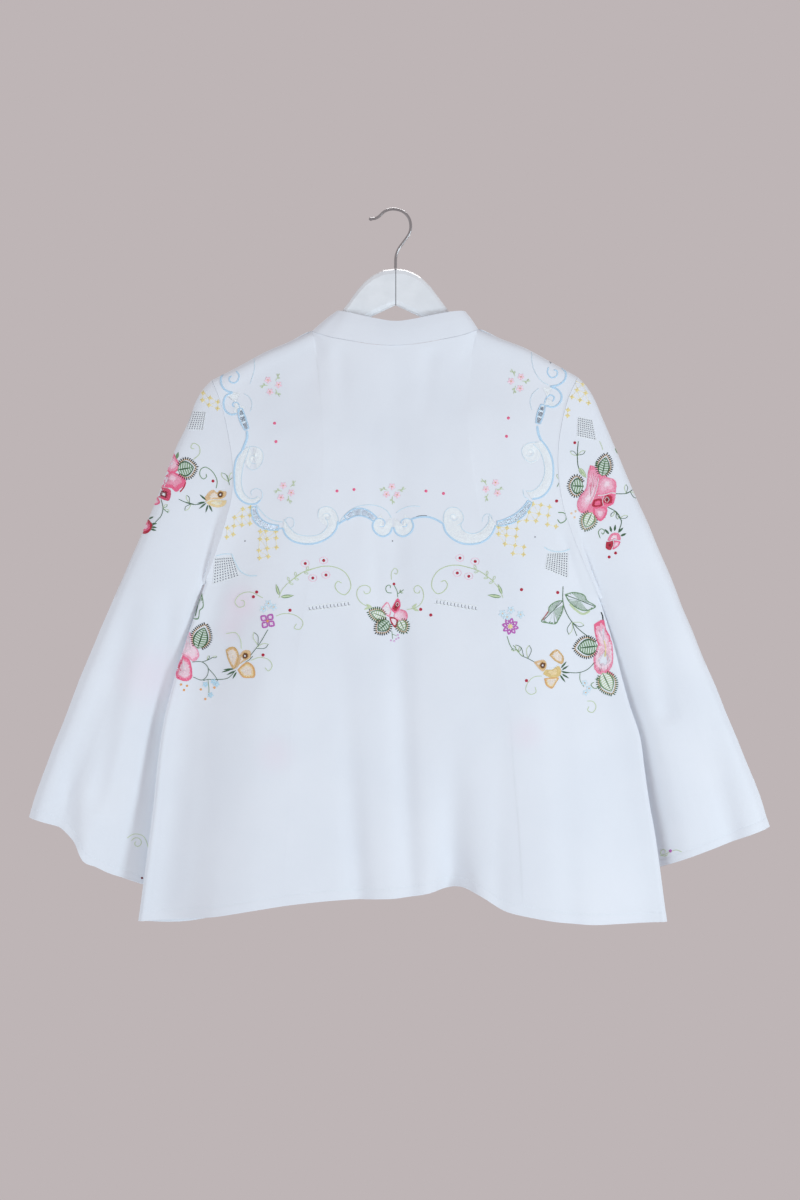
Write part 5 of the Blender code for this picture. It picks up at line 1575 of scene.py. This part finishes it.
def right_side_flowers(work):
    work.line([(563, 586), (563, 602), (566, 612), (572, 622), (582, 632), (592, 639)], "dark_green", 0.8)
    ivy(work, [(562.9, 600.5), (556.8, 601.3), (549.4, 606.5), (548.2, 611.7), (545.1, 616), (541.3, 621.3),
               (547.4, 623), (555.6, 623.7), (558.6, 619.4), (562, 612.5), (563.4, 605.6)],
        [(562.6, 601), (554, 609.6), (543.4, 620.4)])
    work.line([(548.6, 611), (545.4, 615.6), (542.4, 620)], "deep_red", 0.9, 0.6)
    ivy(work, [(565.1, 594.5), (574, 592.4), (584.4, 595.3), (587, 600.5), (595.6, 606.5), (589.5, 610),
               (583.5, 610.6), (575.8, 607.4), (568.9, 601.4)], [(565.4, 595), (579, 600), (594.4, 606.4)],
        [(569.6, 604), (576, 610), (583, 614), (590, 611)])
    work.twig((572, 621), (577, 636), [(0.0, 32, 1.4), (0.1, -58, 1.2)], "dark_green", "pale_green", 10.0, 0.5)
    toothed_leaf(work, (597.5, 646), (574.5, 648.5), 19)
    toothed_leaf(work, (602.5, 673), (612.5, 694), 17, True)
    work.patch([(604, 621), (609, 631), (615, 648), (620, 674), (613, 670), (611, 650), (607, 636)],
               [(1.0, "blush", "pale_pink")])
    work.patch([(594, 624), (599, 621), (603.3, 619.6), (606, 629), (610.4, 638), (608, 646), (600, 647),
                (596.6, 640), (594.4, 631)], [(0.55, "blush", "pale_pink"), (0.8, "pale_pink", "pink"),
                                              (1.0, "rose")], (603.6, 641))
    work.patch([(598, 645), (605, 643), (610.6, 640), (613, 653), (612, 666), (607, 672.6), (601.6, 674.6),
                (595.6, 671), (593.6, 661), (595, 651.6)], [(0.6, "blush", "pink"), (0.8, "pale_pink", "blush"),
                                                            (0.9, "pink"), (1.0, "rose", "pink")], (605.6, 650))
    work.line([(603.8, 640), (605.6, 648), (605, 657)], "yellow", 1.4, 0.75)
    work.line([(600, 672), (607, 671), (614, 675.5)], "rose", 1.5)
    work.line([(601, 612), (602.6, 616), (603, 620.5)], "black_green", 1.3)
    gold_bloom(work, [([(549.2, 655.4), (553, 651), (557, 649.4), (561, 653), (563.8, 658), (562, 664),
                        (556, 661.6)], GOLD_PETAL),
                      ([(533.6, 662), (539, 660.4), (544.2, 660), (546.6, 665.6), (543, 671.4), (537.6, 667.4)],
                       TAN_PETAL),
                      ([(543, 674.2), (545.4, 670), (552, 669.6), (558.6, 666), (561, 671), (559.6, 676),
                        (550, 677.4)], [(0.5, "peach", "yellow"), (1.0, "gold", "yellow")]),
                      ([(544, 678.4), (551, 677.6), (558.6, 677.8), (556, 683), (551.8, 688.6), (546, 685)],
                       ORANGE_PETAL)],
               (542.2, 665.0), [((561, 668), (566.6, 661.4)), ((562, 670), (568.6, 665.6)), ((562, 672), (569.4, 673)),
                                ((562, 674), (569, 678.4)), ((560, 675), (565.4, 682.4))],
               [(561, 671), (570, 672.6), (580, 672.4), (588, 669), (595, 662)])
    work.line([(546.8, 667.6), (552, 668.4), (558.4, 665)], "white", 0.9, 0.8)
    work.line([(580, 672), (580, 680), (584, 687)], "green", 0.6)
    work.blossoms([(584.6, 683), (589, 688.4), (585.6, 692.6)], 3.2, 5, "pale_blue", "orange", 5.0, 0.7)
    work.line([(595, 679), (600, 679.6), (601, 685.4), (594.6, 688.4), (591, 684.6), (594, 682)], "green", 0.8)
    work.twig((534.5, 662), (521, 655.5), [(0.5, 70, 1.5), (0.8, 30, 1.6)], "dark_green", "pale_green", 9.0, 0.3)
    work.twig((521, 655.5), (513, 645), [(0.3, 55, 1.0), (0.5, -50, 1.0)], "green", "pale_green", 6.0, 0.3)
    work.line([(542, 676), (534, 677), (527.4, 683.6), (526, 690.6), (531, 694.4), (536, 692), (535, 687)],
              "pale_green", 0.75)
    work.star(510.3, 626.4, 8, 12, 5.4, 3.4, 2.2, 3.2, [(0.34, "mauve", "white"), (1.0, "purple")])
    work.knot(510.3, 626.4, 2.4, "yellow")
    work.blossoms([(502.5, 613.5), (511, 610.0), (520.5, 614.5), (507, 617)], 4.0, 5, "pale_blue", "peach", 15.0, 0.65)
    work.line([(507, 636), (510, 645), (514, 651)], "green", 0.7)
    work.line([(494.5, 583), (500, 590), (503, 598)], "pale_green", 0.7)
    work.leaf((502, 594), (498, 584), 3.0, [(0.5, "pale_green"), (1.0, "green")], vein=None)
    work.leaf((501, 597), (487.5, 595), 3.4, [(0.5, "pale_green"), (1.0, "green")], vein=None)
    work.line([(587, 701), (593, 701.6), (596, 707), (592.4, 712.4), (587.6, 710.4), (589, 706.4)], "pale_green", 0.8)
    work.twig((557, 487), (565, 468), [(0.35, -50, 1.0), (0.5, 42, 1.0)], "green", "pale_green", 7.0, 0.5)
    work.line([(558, 512.4), (564.6, 513.4), (566, 519.6), (560.6, 523), (557.4, 519.4)], "green", 1.0)
    work.blossom(565.5, 496, 4.4, 5, "sky", "peach", 10.0, 0.7)


def back_embroidery(work):
    left_cartouche(work)
    right_cartouche(work)
    window_edges(work)
    small_flowers(work)
    hemstitch(work, (307.4, 608.6), (350, 603.4), 12)
    hemstitch(work, (435, 601.4), (477.4, 608.4), 12)
    branch = [(288.3, 583), (293, 579.2), (302.3, 572.5), (315.7, 568), (325, 566.2), (335.7, 567.3), (345, 572.5),
              (350.3, 581.5), (350.3, 589), (345, 594.7), (338.3, 592), (335, 586), (337.7, 581.5), (341.7, 583)]
    garland(work, branch, [(305.3, 563.5), (323.7, 560.5), (312.8, 578), (326, 575)], False)
    garland(work, branch, [(460, 558), (475.2, 561.4), (457.3, 573), (468.8, 576.3)], True)
    centre_rose(work)
    left_side_flowers(work)
    right_side_flowers(work)
    work.knots([(256.7, 592), (253.4, 596.8), (290, 610.3), (263, 655), (521.5, 589.6), (557.7, 592.5),
                (420.7, 609.4), (430.8, 615), (526.5, 680.6), (556.6, 501)], 1.7, "deep_red")


def left_sleeve_embroidery(work):
    work.patch([(174, 453), (176.8, 458.8), (179.6, 465.3), (176.4, 471.7), (169.4, 473), (166.5, 468), (169, 458.7)],
               [(0.5, "pale_pink"), (0.8, "pink"), (1.0, "rose")])
    work.patch([(171.5, 471), (178.6, 474), (185.4, 479), (185.5, 485), (180.4, 488.6), (176.8, 492), (171.3, 488.3),
                (164.8, 487.4), (160, 485.5), (164, 478)], [(0.3, "pale_pink"), (0.66, "pink"), (1.0, "rose")],
               (172, 477))
    work.line([(180, 492), (184, 487), (185.6, 482)], "deep_red", 1.3)
    work.patch([(160, 486.9), (170.4, 490), (168.8, 500.6), (163, 499.4), (157, 495.4)], RED_BUD)
    work.patch([(158, 497), (160, 503), (155, 505), (152, 501)], DEEP_PETAL)
    work.leaf((176.4, 459), (178.4, 452), 3.0, [(1.0, "green")], vein=None)
    toothed_leaf(work, (177.6, 470), (196, 467), 18)
    work.line([(193.3, 459.8), (199.7, 453.3), (198.8, 446), (193.3, 443.3), (191, 447.8), (194.6, 449)],
              "pale_green", 0.75)
    work.line([(216.2, 488.4), (217.1, 480.8), (212.5, 471.7), (205.2, 467.1), (200.6, 469.8), (200, 475.3),
               (203.3, 479), (206.6, 476.8), (206, 473.8)], "green", 0.75)
    work.twig((229.5, 485), (227, 475), [(0.3, -25, 1.5), (0.4, 42, 1.3)], "green", "pale_green", 8.0, 0.2)
    gold_bloom(work, [([(205, 497), (209, 492), (213.6, 489.8), (217, 492.6), (222, 491.4), (226.4, 491.8),
                        (225.4, 496.6), (219, 499.6), (211, 500), (206, 502)], TAN_PETAL),
                      ([(206, 502.4), (212, 499.8), (219, 499.8), (226.4, 500.6), (225, 505), (219, 507.4),
                        (210, 505.6)], [(0.5, "white", "yellow"), (1.0, "yellow", "peach")])],
               (220.4, 494.2), [((206, 500), (199.6, 494.4)), ((206, 503), (199, 509)), ((208, 505), (205.6, 512.6)),
                                ((205, 502), (197, 503.4)), ((209, 505), (212.4, 512))],
               [(204.5, 502.6), (197, 504.6), (189, 503.6), (178.6, 499.2)])
    work.line([(205.6, 502.4), (210, 500), (218, 499.8), (225.4, 500)], "white", 0.9, 0.8)
    work.twig((196, 505), (185, 502), [(0.4, -60, 1.5), (0.6, 55, 1.3)], "dark_green", "pale_green", 6.5, 0.2)
    work.line([(161.2, 499.4), (163, 508.3), (161.2, 515.7), (155.7, 522), (152.4, 526)], "dark_green", 0.75)
    work.twig((162.6, 508), (168.6, 513), [(0.0, -75, 1.0), (0.2, -20, 1.0)], "green", "pale_green", 6.0, 0.2)
    work.patch([(148.3, 519), (152.4, 524.8), (150.2, 531), (143.8, 534), (140, 530.3), (143.8, 522.6)],
               [(0.3, "pale_pink"), (0.6, "rose"), (1.0, "deep_red")])
    work.sepals([((149, 519), (153.6, 516.6)), ((151.6, 524), (157, 523.6)), ((150.6, 529), (156.4, 530.6)),
                 ((148, 521), (147.4, 515.4)), ((151, 527), (157, 527.6))], 1.9, "dark_green")
    work.knots([(213, 481), (138.4, 538.2)], 1.6, "deep_red")
    trellis(work, [(218, 402), (217.6, 408.4), (210, 398), (203, 393), (209, 405), (202.4, 400)])
    # This net's holes are painted shade, paler than on the back
    work.net([(190, 411), (206, 412), (203, 430), (183, 429)], 8, 9, "pale_shade")
    work.curl(137, 843, 6.0, 200, 1.1, "pale_green", 0.7)
    work.line([(127, 838), (134, 834), (143, 836), (147, 843), (149, 852)], "pale_green", 0.7)
    work.knot(142, 878, 1.2, "dark_red")


def right_sleeve_embroidery(work):
    toothed_leaf(work, (583.6, 486.4), (569, 485.6), 19)
    toothed_leaf(work, (602, 476), (606.4, 454.6), 13.5)
    toothed_leaf(work, (592, 512.5), (584.4, 529.4), 13.5, True)
    work.patch([(590, 466), (599, 470.4), (608, 477.6), (615.4, 480.4), (616, 492), (613.6, 503.4), (607.6, 507.4),
                (606.4, 515.4), (600.3, 521), (593.6, 514.5), (583.8, 512.6), (577.6, 505), (580.4, 496),
                (586.4, 487.4), (588.4, 474)], [(share, "pink", "rose") for share in (0.2, 0.4, 0.6, 0.8, 1.0)], None,
               0.4)
    work.patch([(590.2, 465.5), (596, 467.4), (599, 471.3), (599.6, 477.7), (597.6, 485), (594.8, 494.2),
                (590.2, 503.5), (583.8, 513), (578.6, 511), (577, 503.3), (580, 496), (585.6, 488.7), (587.3, 479.5),
                (588, 472.2)], [(0.4, "pale_pink", "blush"), (0.7, "pale_pink", "pink"), (0.9, "pink"),
                                (1.0, "rose", "pink")], (590.4, 497), 0.7)
    work.patch([(602.2, 476.6), (608.6, 477.6), (613.4, 479.5), (615.2, 486.8), (614.1, 491.8), (608.6, 492.6),
                (603.1, 495.4), (597.4, 494.6), (596.7, 486.8), (599.4, 479.5)],
               [(0.3, "blush", "pale_pink"), (0.64, "pale_pink", "pink"), (0.86, "pink"), (1.0, "rose", "pink")],
               (607.4, 483), 0.7)
    work.patch([(593, 506.6), (602.2, 505.8), (607, 508.8), (606, 515.3), (600.3, 521.2), (593.6, 514.3)],
               [(0.35, "pale_pink"), (0.7, "pink"), (1.0, "rose")], (600, 514), 0.7)
    work.patch([(593.6, 499.4), (601.3, 498.4), (603.4, 505.2), (596.7, 507.2), (592, 506.1)],
               [(0.5, "rose"), (1.0, "deep_red")], None, 0.9)
    work.patch([(606.8, 493), (612.5, 494), (613.6, 503.3), (607, 505.6), (601, 502.6), (603.6, 496.6)], RED_PETAL,
               None, 0.9)
    work.line([(606.6, 503), (604.6, 500), (606.8, 496.8), (609, 500), (606.6, 503)], "white", 0.8, 1.1)
    work.line([(597.6, 495.4), (604, 495), (611.6, 492.8), (616, 493.6)], "white", 1.1, 1.0)
    work.line([(598.6, 478), (597.2, 486), (594.8, 494.4), (590, 504)], "white", 0.9, 1.0)
    work.line([(603.6, 496), (602.6, 501), (603.4, 506)], "white", 0.8, 1.1)
    work.leaf((597, 467.4), (596.4, 460.4), 2.6, [(1.0, "green")], vein=None)
    work.line([(578.3, 441), (577.4, 453.8), (578.3, 466.7), (582, 474.6)], "dark_green", 0.8)
    work.twig((577.4, 456), (577.6, 447), [(0.0, -58, 1.0), (0.1, 60, 1.0)], "dark_green", "pale_green", 9.0, 0.1)
    work.leaf((579, 468), (586.4, 478), 4.6, PALE_LEAF, vein=None)
    work.line([(615, 493.5), (622, 493.8), (627.8, 493), (633.3, 488.7)], "dark_green", 0.75)
    work.twig((626, 493.4), (634, 489), [(0.0, -62, 1.4), (0.5, 70, 1.6), (0.9, 50, 1.5)], "dark_green", "pale_green",
              6.5, 0.2)
    work.line([(615, 448.3), (616.4, 451.8), (619.4, 455.4)], "green", 0.7)
    work.line([(599.4, 441), (601.4, 445.6), (603, 450.2)], "pale_green", 0.7)
    work.line([(607.7, 507), (616.8, 512.5), (621.4, 521.7), (618.7, 531)], "dark_green", 0.85)
    work.twig((615, 511), (622, 521), [(0.0, 70, 1.1), (0.2, 20, 1.0), (0.7, -70, 1.3)], "dark_green", "pale_green",
              6.5, 0.3)
    work.line([(600.3, 538.4), (598.5, 531.8), (601.3, 528.8), (604.5, 531), (603, 534.2), (601.4, 532.6)], "green",
              0.8)
    work.patch([(607.4, 540), (610.6, 534.6), (615, 532.6), (619, 534), (620.4, 540), (614, 539), (609.4, 542)],
               [(0.5, "pale_pink", "blush"), (1.0, "rose", "pink")])
    work.patch([(606.2, 542), (612.4, 540.4), (613.4, 546), (610.4, 550), (606, 548.4)],
               [(0.3, "dark_red"), (1.0, "deep_red")])
    work.patch([(613.6, 540.4), (620.2, 541.4), (618.4, 546), (612.6, 549.4)], DEEP_PETAL)
    work.line([(606.4, 541.6), (610, 541), (614, 539.8), (620, 541)], "white", 0.8, 0.85)
    work.line([(613.4, 540.4), (613.6, 545), (611.4, 549.4)], "white", 0.7, 0.8)
    work.knots([(571.4, 513.4), (575.6, 511.4), (574.6, 517.4)], 1.2, "peach")
    work.sepals([((609, 534), (604.6, 529)), ((611.4, 532), (610, 526)), ((614.6, 531), (615.4, 524.6)),
                 ((618, 532.6), (623.4, 527.6)), ((620.6, 536), (626.4, 533.4))], 2.2, "dark_green")
    work.knots([(574.8, 442.7), (615.6, 553), (609.2, 557)], 1.6, "deep_red")
    trellis(work, [(574.6, 381), (583, 384), (577, 390), (585.6, 393), (572, 397), (580, 400), (588.6, 403),
                   (568, 410), (567.6, 415.6)])
    # This net's holes are painted shade, paler than on the back
    work.net([(578, 417), (592, 420), (596, 440), (577, 436)], 8, 9, "pale_shade")
    work.knot(670.5, 851, 1.7, "purple")
    work.curl(664, 852, 4.6, 30, 1.0, "pale_green", 0.7)
    work.line([(660, 856), (668, 853), (676, 850), (682, 852)], "pale_green", 0.7)


def front_spray(work, x, way):
    """A rose spray on one front, of the same kind as the back's."""
    def at(points):
        return [(x + way * across, down) for across, down in points]

    work.line(at([(-6, 560), (-2, 590), (0, 612), (10, 632), (12, 668)]), "dark_green", 0.8)
    toothed_leaf(work, *at([(4, 618), (-14, 606)]), 13)
    toothed_leaf(work, *at([(14, 634), (32, 640)]), 13)
    toothed_leaf(work, *at([(0, 632), (-16, 644)]), 12, True)
    work.patch(at([(-2, 612), (8, 604), (17, 610), (16, 622), (6, 628), (-4, 622)]), PINK_PETAL)
    work.patch(at([(14, 614), (24, 612), (28, 622), (22, 632), (13, 628)]), WHITE_PETAL)
    work.patch(at([(-2, 624), (8, 626), (14, 632), (8, 642), (-2, 638)]), DEEP_PETAL)
    work.patch(at([(6, 616), (14, 614), (16, 622), (10, 627), (5, 623)]), RED_PETAL)
    work.curl(x - way * 14, 578, 8.0, 20, way * 1.2, "pale_green", 0.8)
    work.curl(x + way * 24, 590, 8.0, 160, -way * 1.2, "pale_green", 0.8)
    work.twig(*at([(-2, 590), (10, 578)]), [(0.4, 45, 1.0), (0.5, -45, 1.0)], "dark_green", "pale_green", 7.0)
    for across, down in [(-20, 560), (16, 570), (30, 668), (-10, 662)]:
        work.knot(x + way * across, down, 1.7, "deep_red")
    for across, down in [(34, 600), (40, 606), (-26, 622)]:
        work.blossom(x + way * across, down, 3.8, 5, "pale_blue", "peach")


# A hem stitch: its pitch and length, its half width, the cloth left free at the start and end of the row, and
# the heights along it
STITCH_PITCH = 3.4
STITCH_LENGTH = 2.3
STITCH_HALF = 0.42
ROW_START, ROW_END = 2.0, 3.0
STITCH_HEIGHTS = (0.05, 0.42, 0.42, 0.05)
STITCH_CLEAR = 0.05


def hem_stitches(name, grid, closed):
    """A row of short raised stitches round a hem, along its seam."""
    wrapped = np.concatenate([grid, grid[:, :1]], axis=1) if closed else grid
    length = run_length(wrapped[:, 0])
    row = int(np.argmin(np.abs(length - (length[-1] - HEM_STITCH))))
    path, normals = wrapped[row], outward(wrapped, closed)[row]
    down = unit(wrapped[row + 1] - wrapped[row - 1])
    along = run_length(path)
    vertices, faces = [], []
    for at in np.arange(ROW_START, along[-1] - ROW_END, STITCH_PITCH):
        base = len(vertices)
        for place, high in zip(np.linspace(at, at + STITCH_LENGTH, 4), STITCH_HEIGHTS):
            point, normal, side = (np.array([np.interp(place, along, column) for column in table.T])
                                   for table in (path, normals, down))
            for across, share in ((-STITCH_HALF, 0.0), (0.0, 1.0), (STITCH_HALF, 0.0)):
                vertices.append(point + side * across + normal * (STITCH_CLEAR + high * share))
        for k in range(3):
            for c in range(2):
                a = base + 3 * k + c
                faces.append([a, a + 1, a + 4, a + 3])
    return new_object(name, vertices, faces, [thread_materials["white"]])


cotton = cotton_material()
wood = wood_material()
chrome = chrome_material()

# Creases: x and z of the start and the end, the depth at both, and the half width
BACK_FOLDS = [
    (70.0, -600.0, 70.0, -850.0, 0.0, 14.0, 15.0),
    (-60.0, -500.0, -38.0, -850.0, 1.0, 9.0, 15.0),
    (0.0, -300.0, 22.0, -850.0, 1.5, 9.5, 14.0),
    (-22.0, -230.0, -16.0, -480.0, 0.5, 2.4, 10.0),
    (196.0, -520.0, 214.0, -850.0, 1.0, 4.0, 15.0),
    (-62.0, -170.0, -58.0, -250.0, 2.4, 0.4, 11.0),
    (46.0, -170.0, 40.0, -250.0, 2.4, 0.4, 11.0),
    (132.0, -600.0, 126.0, -850.0, 0.3, 2.5, 12.0),
    (204.0, -392.0, 234.0, -480.0, 2.5, 0.5, 6.0),
]
SLEEVE_FOLDS = {
    "left": [(-306.0, -419.0, -352.0, -700.0, 1.0, 6.0, 15.0), (-266.0, -480.0, -300.0, -760.0, 5.0, 0.5, 12.0),
             (-392.0, -610.0, -384.0, -760.0, 0.0, 6.0, 11.0)],
    "right": [(362.0, -500.0, 416.0, -780.0, 0.5, 6.0, 16.0), (300.0, -420.0, 330.0, -600.0, 0.5, 4.0, 14.0)],
}
FRONT_FOLDS = [
    (-22.0, -330.0, -40.0, -850.0, 0.2, 2.0, 9.0),
    (118.0, -380.0, 128.0, -850.0, 0.2, 2.2, 10.0),
    (-118.0, -360.0, -132.0, -850.0, 0.2, 2.0, 10.0),
]

back_grid = fine_panel(back_panel(), panel_side("left", False)[0], BACK_FOLDS, 3)
pieces = {}
pieces["back"] = shell("back_cloth", back_grid, cotton)
grids = {"back": (back_grid, False)}
for number, side in enumerate(("left", "right")):
    grid = fine_panel(front_panel(side), panel_side(side, True)[0], FRONT_FOLDS, 11 + number)
    grids[f"front_{side}"] = (grid, False)
    pieces[f"front_{side}"] = shell(f"front_{side}_cloth", grid, cotton)
    grid = fine_sleeve(sleeve(side), SLEEVE_FOLDS[side], 21 + number)
    grids[f"sleeve_{side}"] = (grid, True)
    pieces[f"sleeve_{side}"] = shell(f"sleeve_{side}_cloth", grid, cotton, closed=True)
collar_grid = collar()
down, across = run_length(collar_grid[:, 0]), run_length(collar_grid[0])
collar_grid = resample(collar_grid, down, finer(down, CELL))
collar_grid = resample(collar_grid.transpose(1, 0, 2), across, finer(across, CELL)).transpose(1, 0, 2)
grids["collar"] = (collar_grid, False)
pieces["collar"] = shell("collar_cloth", collar_grid, cotton)


def cut_back(panel):
    """Cuts the crescent windows through the back."""
    vertices, faces = [], []
    for outline in crescent_windows():
        count, base = len(outline), len(vertices)
        for y in (WINDOW_NEAR, WINDOW_FAR):
            vertices += [(x, y, z) for x, z in outline]
        faces.append([base + k for k in range(count)])
        faces.append([base + count + k for k in reversed(range(count))])
        for k in range(count):
            other = (k + 1) % count
            faces.append([base + k, base + other, base + count + other, base + count + k])
    cutter = new_object("window_cutter", vertices, faces, [cotton], smooth_faces=False)
    body = bmesh.new()
    body.from_mesh(cutter.data)
    bmesh.ops.recalc_face_normals(body, faces=body.faces)
    body.to_mesh(cutter.data)
    body.free()
    modifier = panel.modifiers.new("windows", "BOOLEAN")
    modifier.operation = "DIFFERENCE"
    modifier.solver = "EXACT"
    modifier.object = cutter
    bpy.context.view_layer.update()
    made = bpy.data.meshes.new_from_object(panel.evaluated_get(bpy.context.evaluated_depsgraph_get()))
    panel.modifiers.clear()
    panel.data = made
    bpy.data.objects.remove(cutter)


cut_back(pieces["back"])

works = {}
for name, node, front, draw in (
        ("embroidery_back", "back", False, back_embroidery),
        ("embroidery_sleeve_left", "sleeve_left", False, left_sleeve_embroidery),
        ("embroidery_sleeve_right", "sleeve_right", False, right_sleeve_embroidery),
        ("embroidery_front_left", "front_left", True, lambda work: front_spray(work, 300.0, 1)),
        ("embroidery_front_right", "front_right", True, lambda work: front_spray(work, 486.0, -1))):
    work = Stitches(name, *grids[node], front)
    draw(work)
    item = work.finish()
    works[node] = [item]
    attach(item, "root")

for node, item in pieces.items():
    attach(item, "root")
    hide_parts(node)

for node, material in (("hanger", wood), ("hook", chrome)):
    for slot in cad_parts[node].material_slots:
        slot.material = material

for node in ("back", "front_left", "front_right", "sleeve_left", "sleeve_right"):
    item = hem_stitches(f"hem_stitches_{node}", *grids[node])
    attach(item, "root")
    works.setdefault(node, []).append(item)

# Stage, camera and light, in metres

def area_light(name, place, aim, size, power, color):
    data = bpy.data.lights.new(name, "AREA")
    data.shape = "DISK"
    data.size = size
    data.energy = power
    data.color = color
    item = bpy.data.objects.new(name, data)
    item.location = place
    item.rotation_euler = (Vector(aim) - Vector(place)).to_track_quat("-Z", "Y").to_euler()
    bpy.context.scene.collection.objects.link(item)


LENS = 80.0
SENSOR = 36.0
WORLD_COLOR = (0.515, 0.462, 0.468, 1.0)
# Columns: name, place, aim, size, power, color
AREA_LIGHTS = [
    ("key", (2.6, -1.8, -0.9), (0, 0, -0.6), 0.8, 47.0, (0.80, 0.93, 1.0)),
    ("fill", (-2.1, -2.4, -0.9), (0, 0, -0.6), 1.6, 33.5, (0.78, 0.92, 1.0)),
    ("rim", (0.2, 2.4, 1.6), (0, 0, -0.4), 1.4, 22.0, (1.0, 1.0, 1.0)),
]
# Thin white cotton lets daylight into the hollow, which four weak lights inside stand for. Columns: x, z, power
GLOWS = [(-0.095, -0.45, 0.11), (0.095, -0.45, 0.11), (-0.125, -0.29, 0.03), (0.125, -0.29, 0.03)]
GLOW_SIZE = 0.012
FLOOR_Z = -1500.0
FLOOR_RADIUS = 1100
FLOOR_SIDES = 48

camera_data = bpy.data.cameras.new("camera")
camera_data.lens = LENS
camera_data.sensor_width = SENSOR
camera = bpy.data.objects.new("camera", camera_data)
camera.location = [value * MM for value in EYE]
camera.rotation_euler = (math.radians(90), 0.0, 0.0)
bpy.context.scene.collection.objects.link(camera)
bpy.context.scene.camera = camera

world = bpy.data.worlds.new("studio")
world.use_nodes = True
world.node_tree.nodes["Background"].inputs["Color"].default_value = WORLD_COLOR
bpy.context.scene.world = world
bpy.context.scene.view_settings.view_transform = "Standard"

for light in AREA_LIGHTS:
    area_light(*light)
for x, z, power in GLOWS:
    glow = bpy.data.lights.new("inner_glow", "POINT")
    glow.energy = power
    glow.shadow_soft_size = GLOW_SIZE
    glow_item = bpy.data.objects.new("inner_glow", glow)
    glow_item.location = (x, 0.0, z)
    bpy.context.scene.collection.objects.link(glow_item)

floor_vertices = [(0.0, 0.0, FLOOR_Z)]
for step in range(FLOOR_SIDES):
    angle = 2 * math.pi * step / FLOOR_SIDES
    floor_vertices.append((FLOOR_RADIUS * math.cos(angle), FLOOR_RADIUS * math.sin(angle), FLOOR_Z))
floor_faces = [[0, 1 + k, 1 + (k + 1) % FLOOR_SIDES] for k in range(FLOOR_SIDES)]
floor_material, floor_tree, floor_shader = node_material("pale_floor", (0.6, 0.57, 0.57), 0.8)
floor_tone = noise(floor_tree, object_point(floor_tree), 3.0)
floor_tree.links.new(ramp(floor_tree, floor_tone, (0.58, 0.54, 0.545), (0.61, 0.57, 0.575)),
                     floor_shader.inputs["Base Color"])
floor = new_object("floor", floor_vertices, floor_faces, [floor_material])
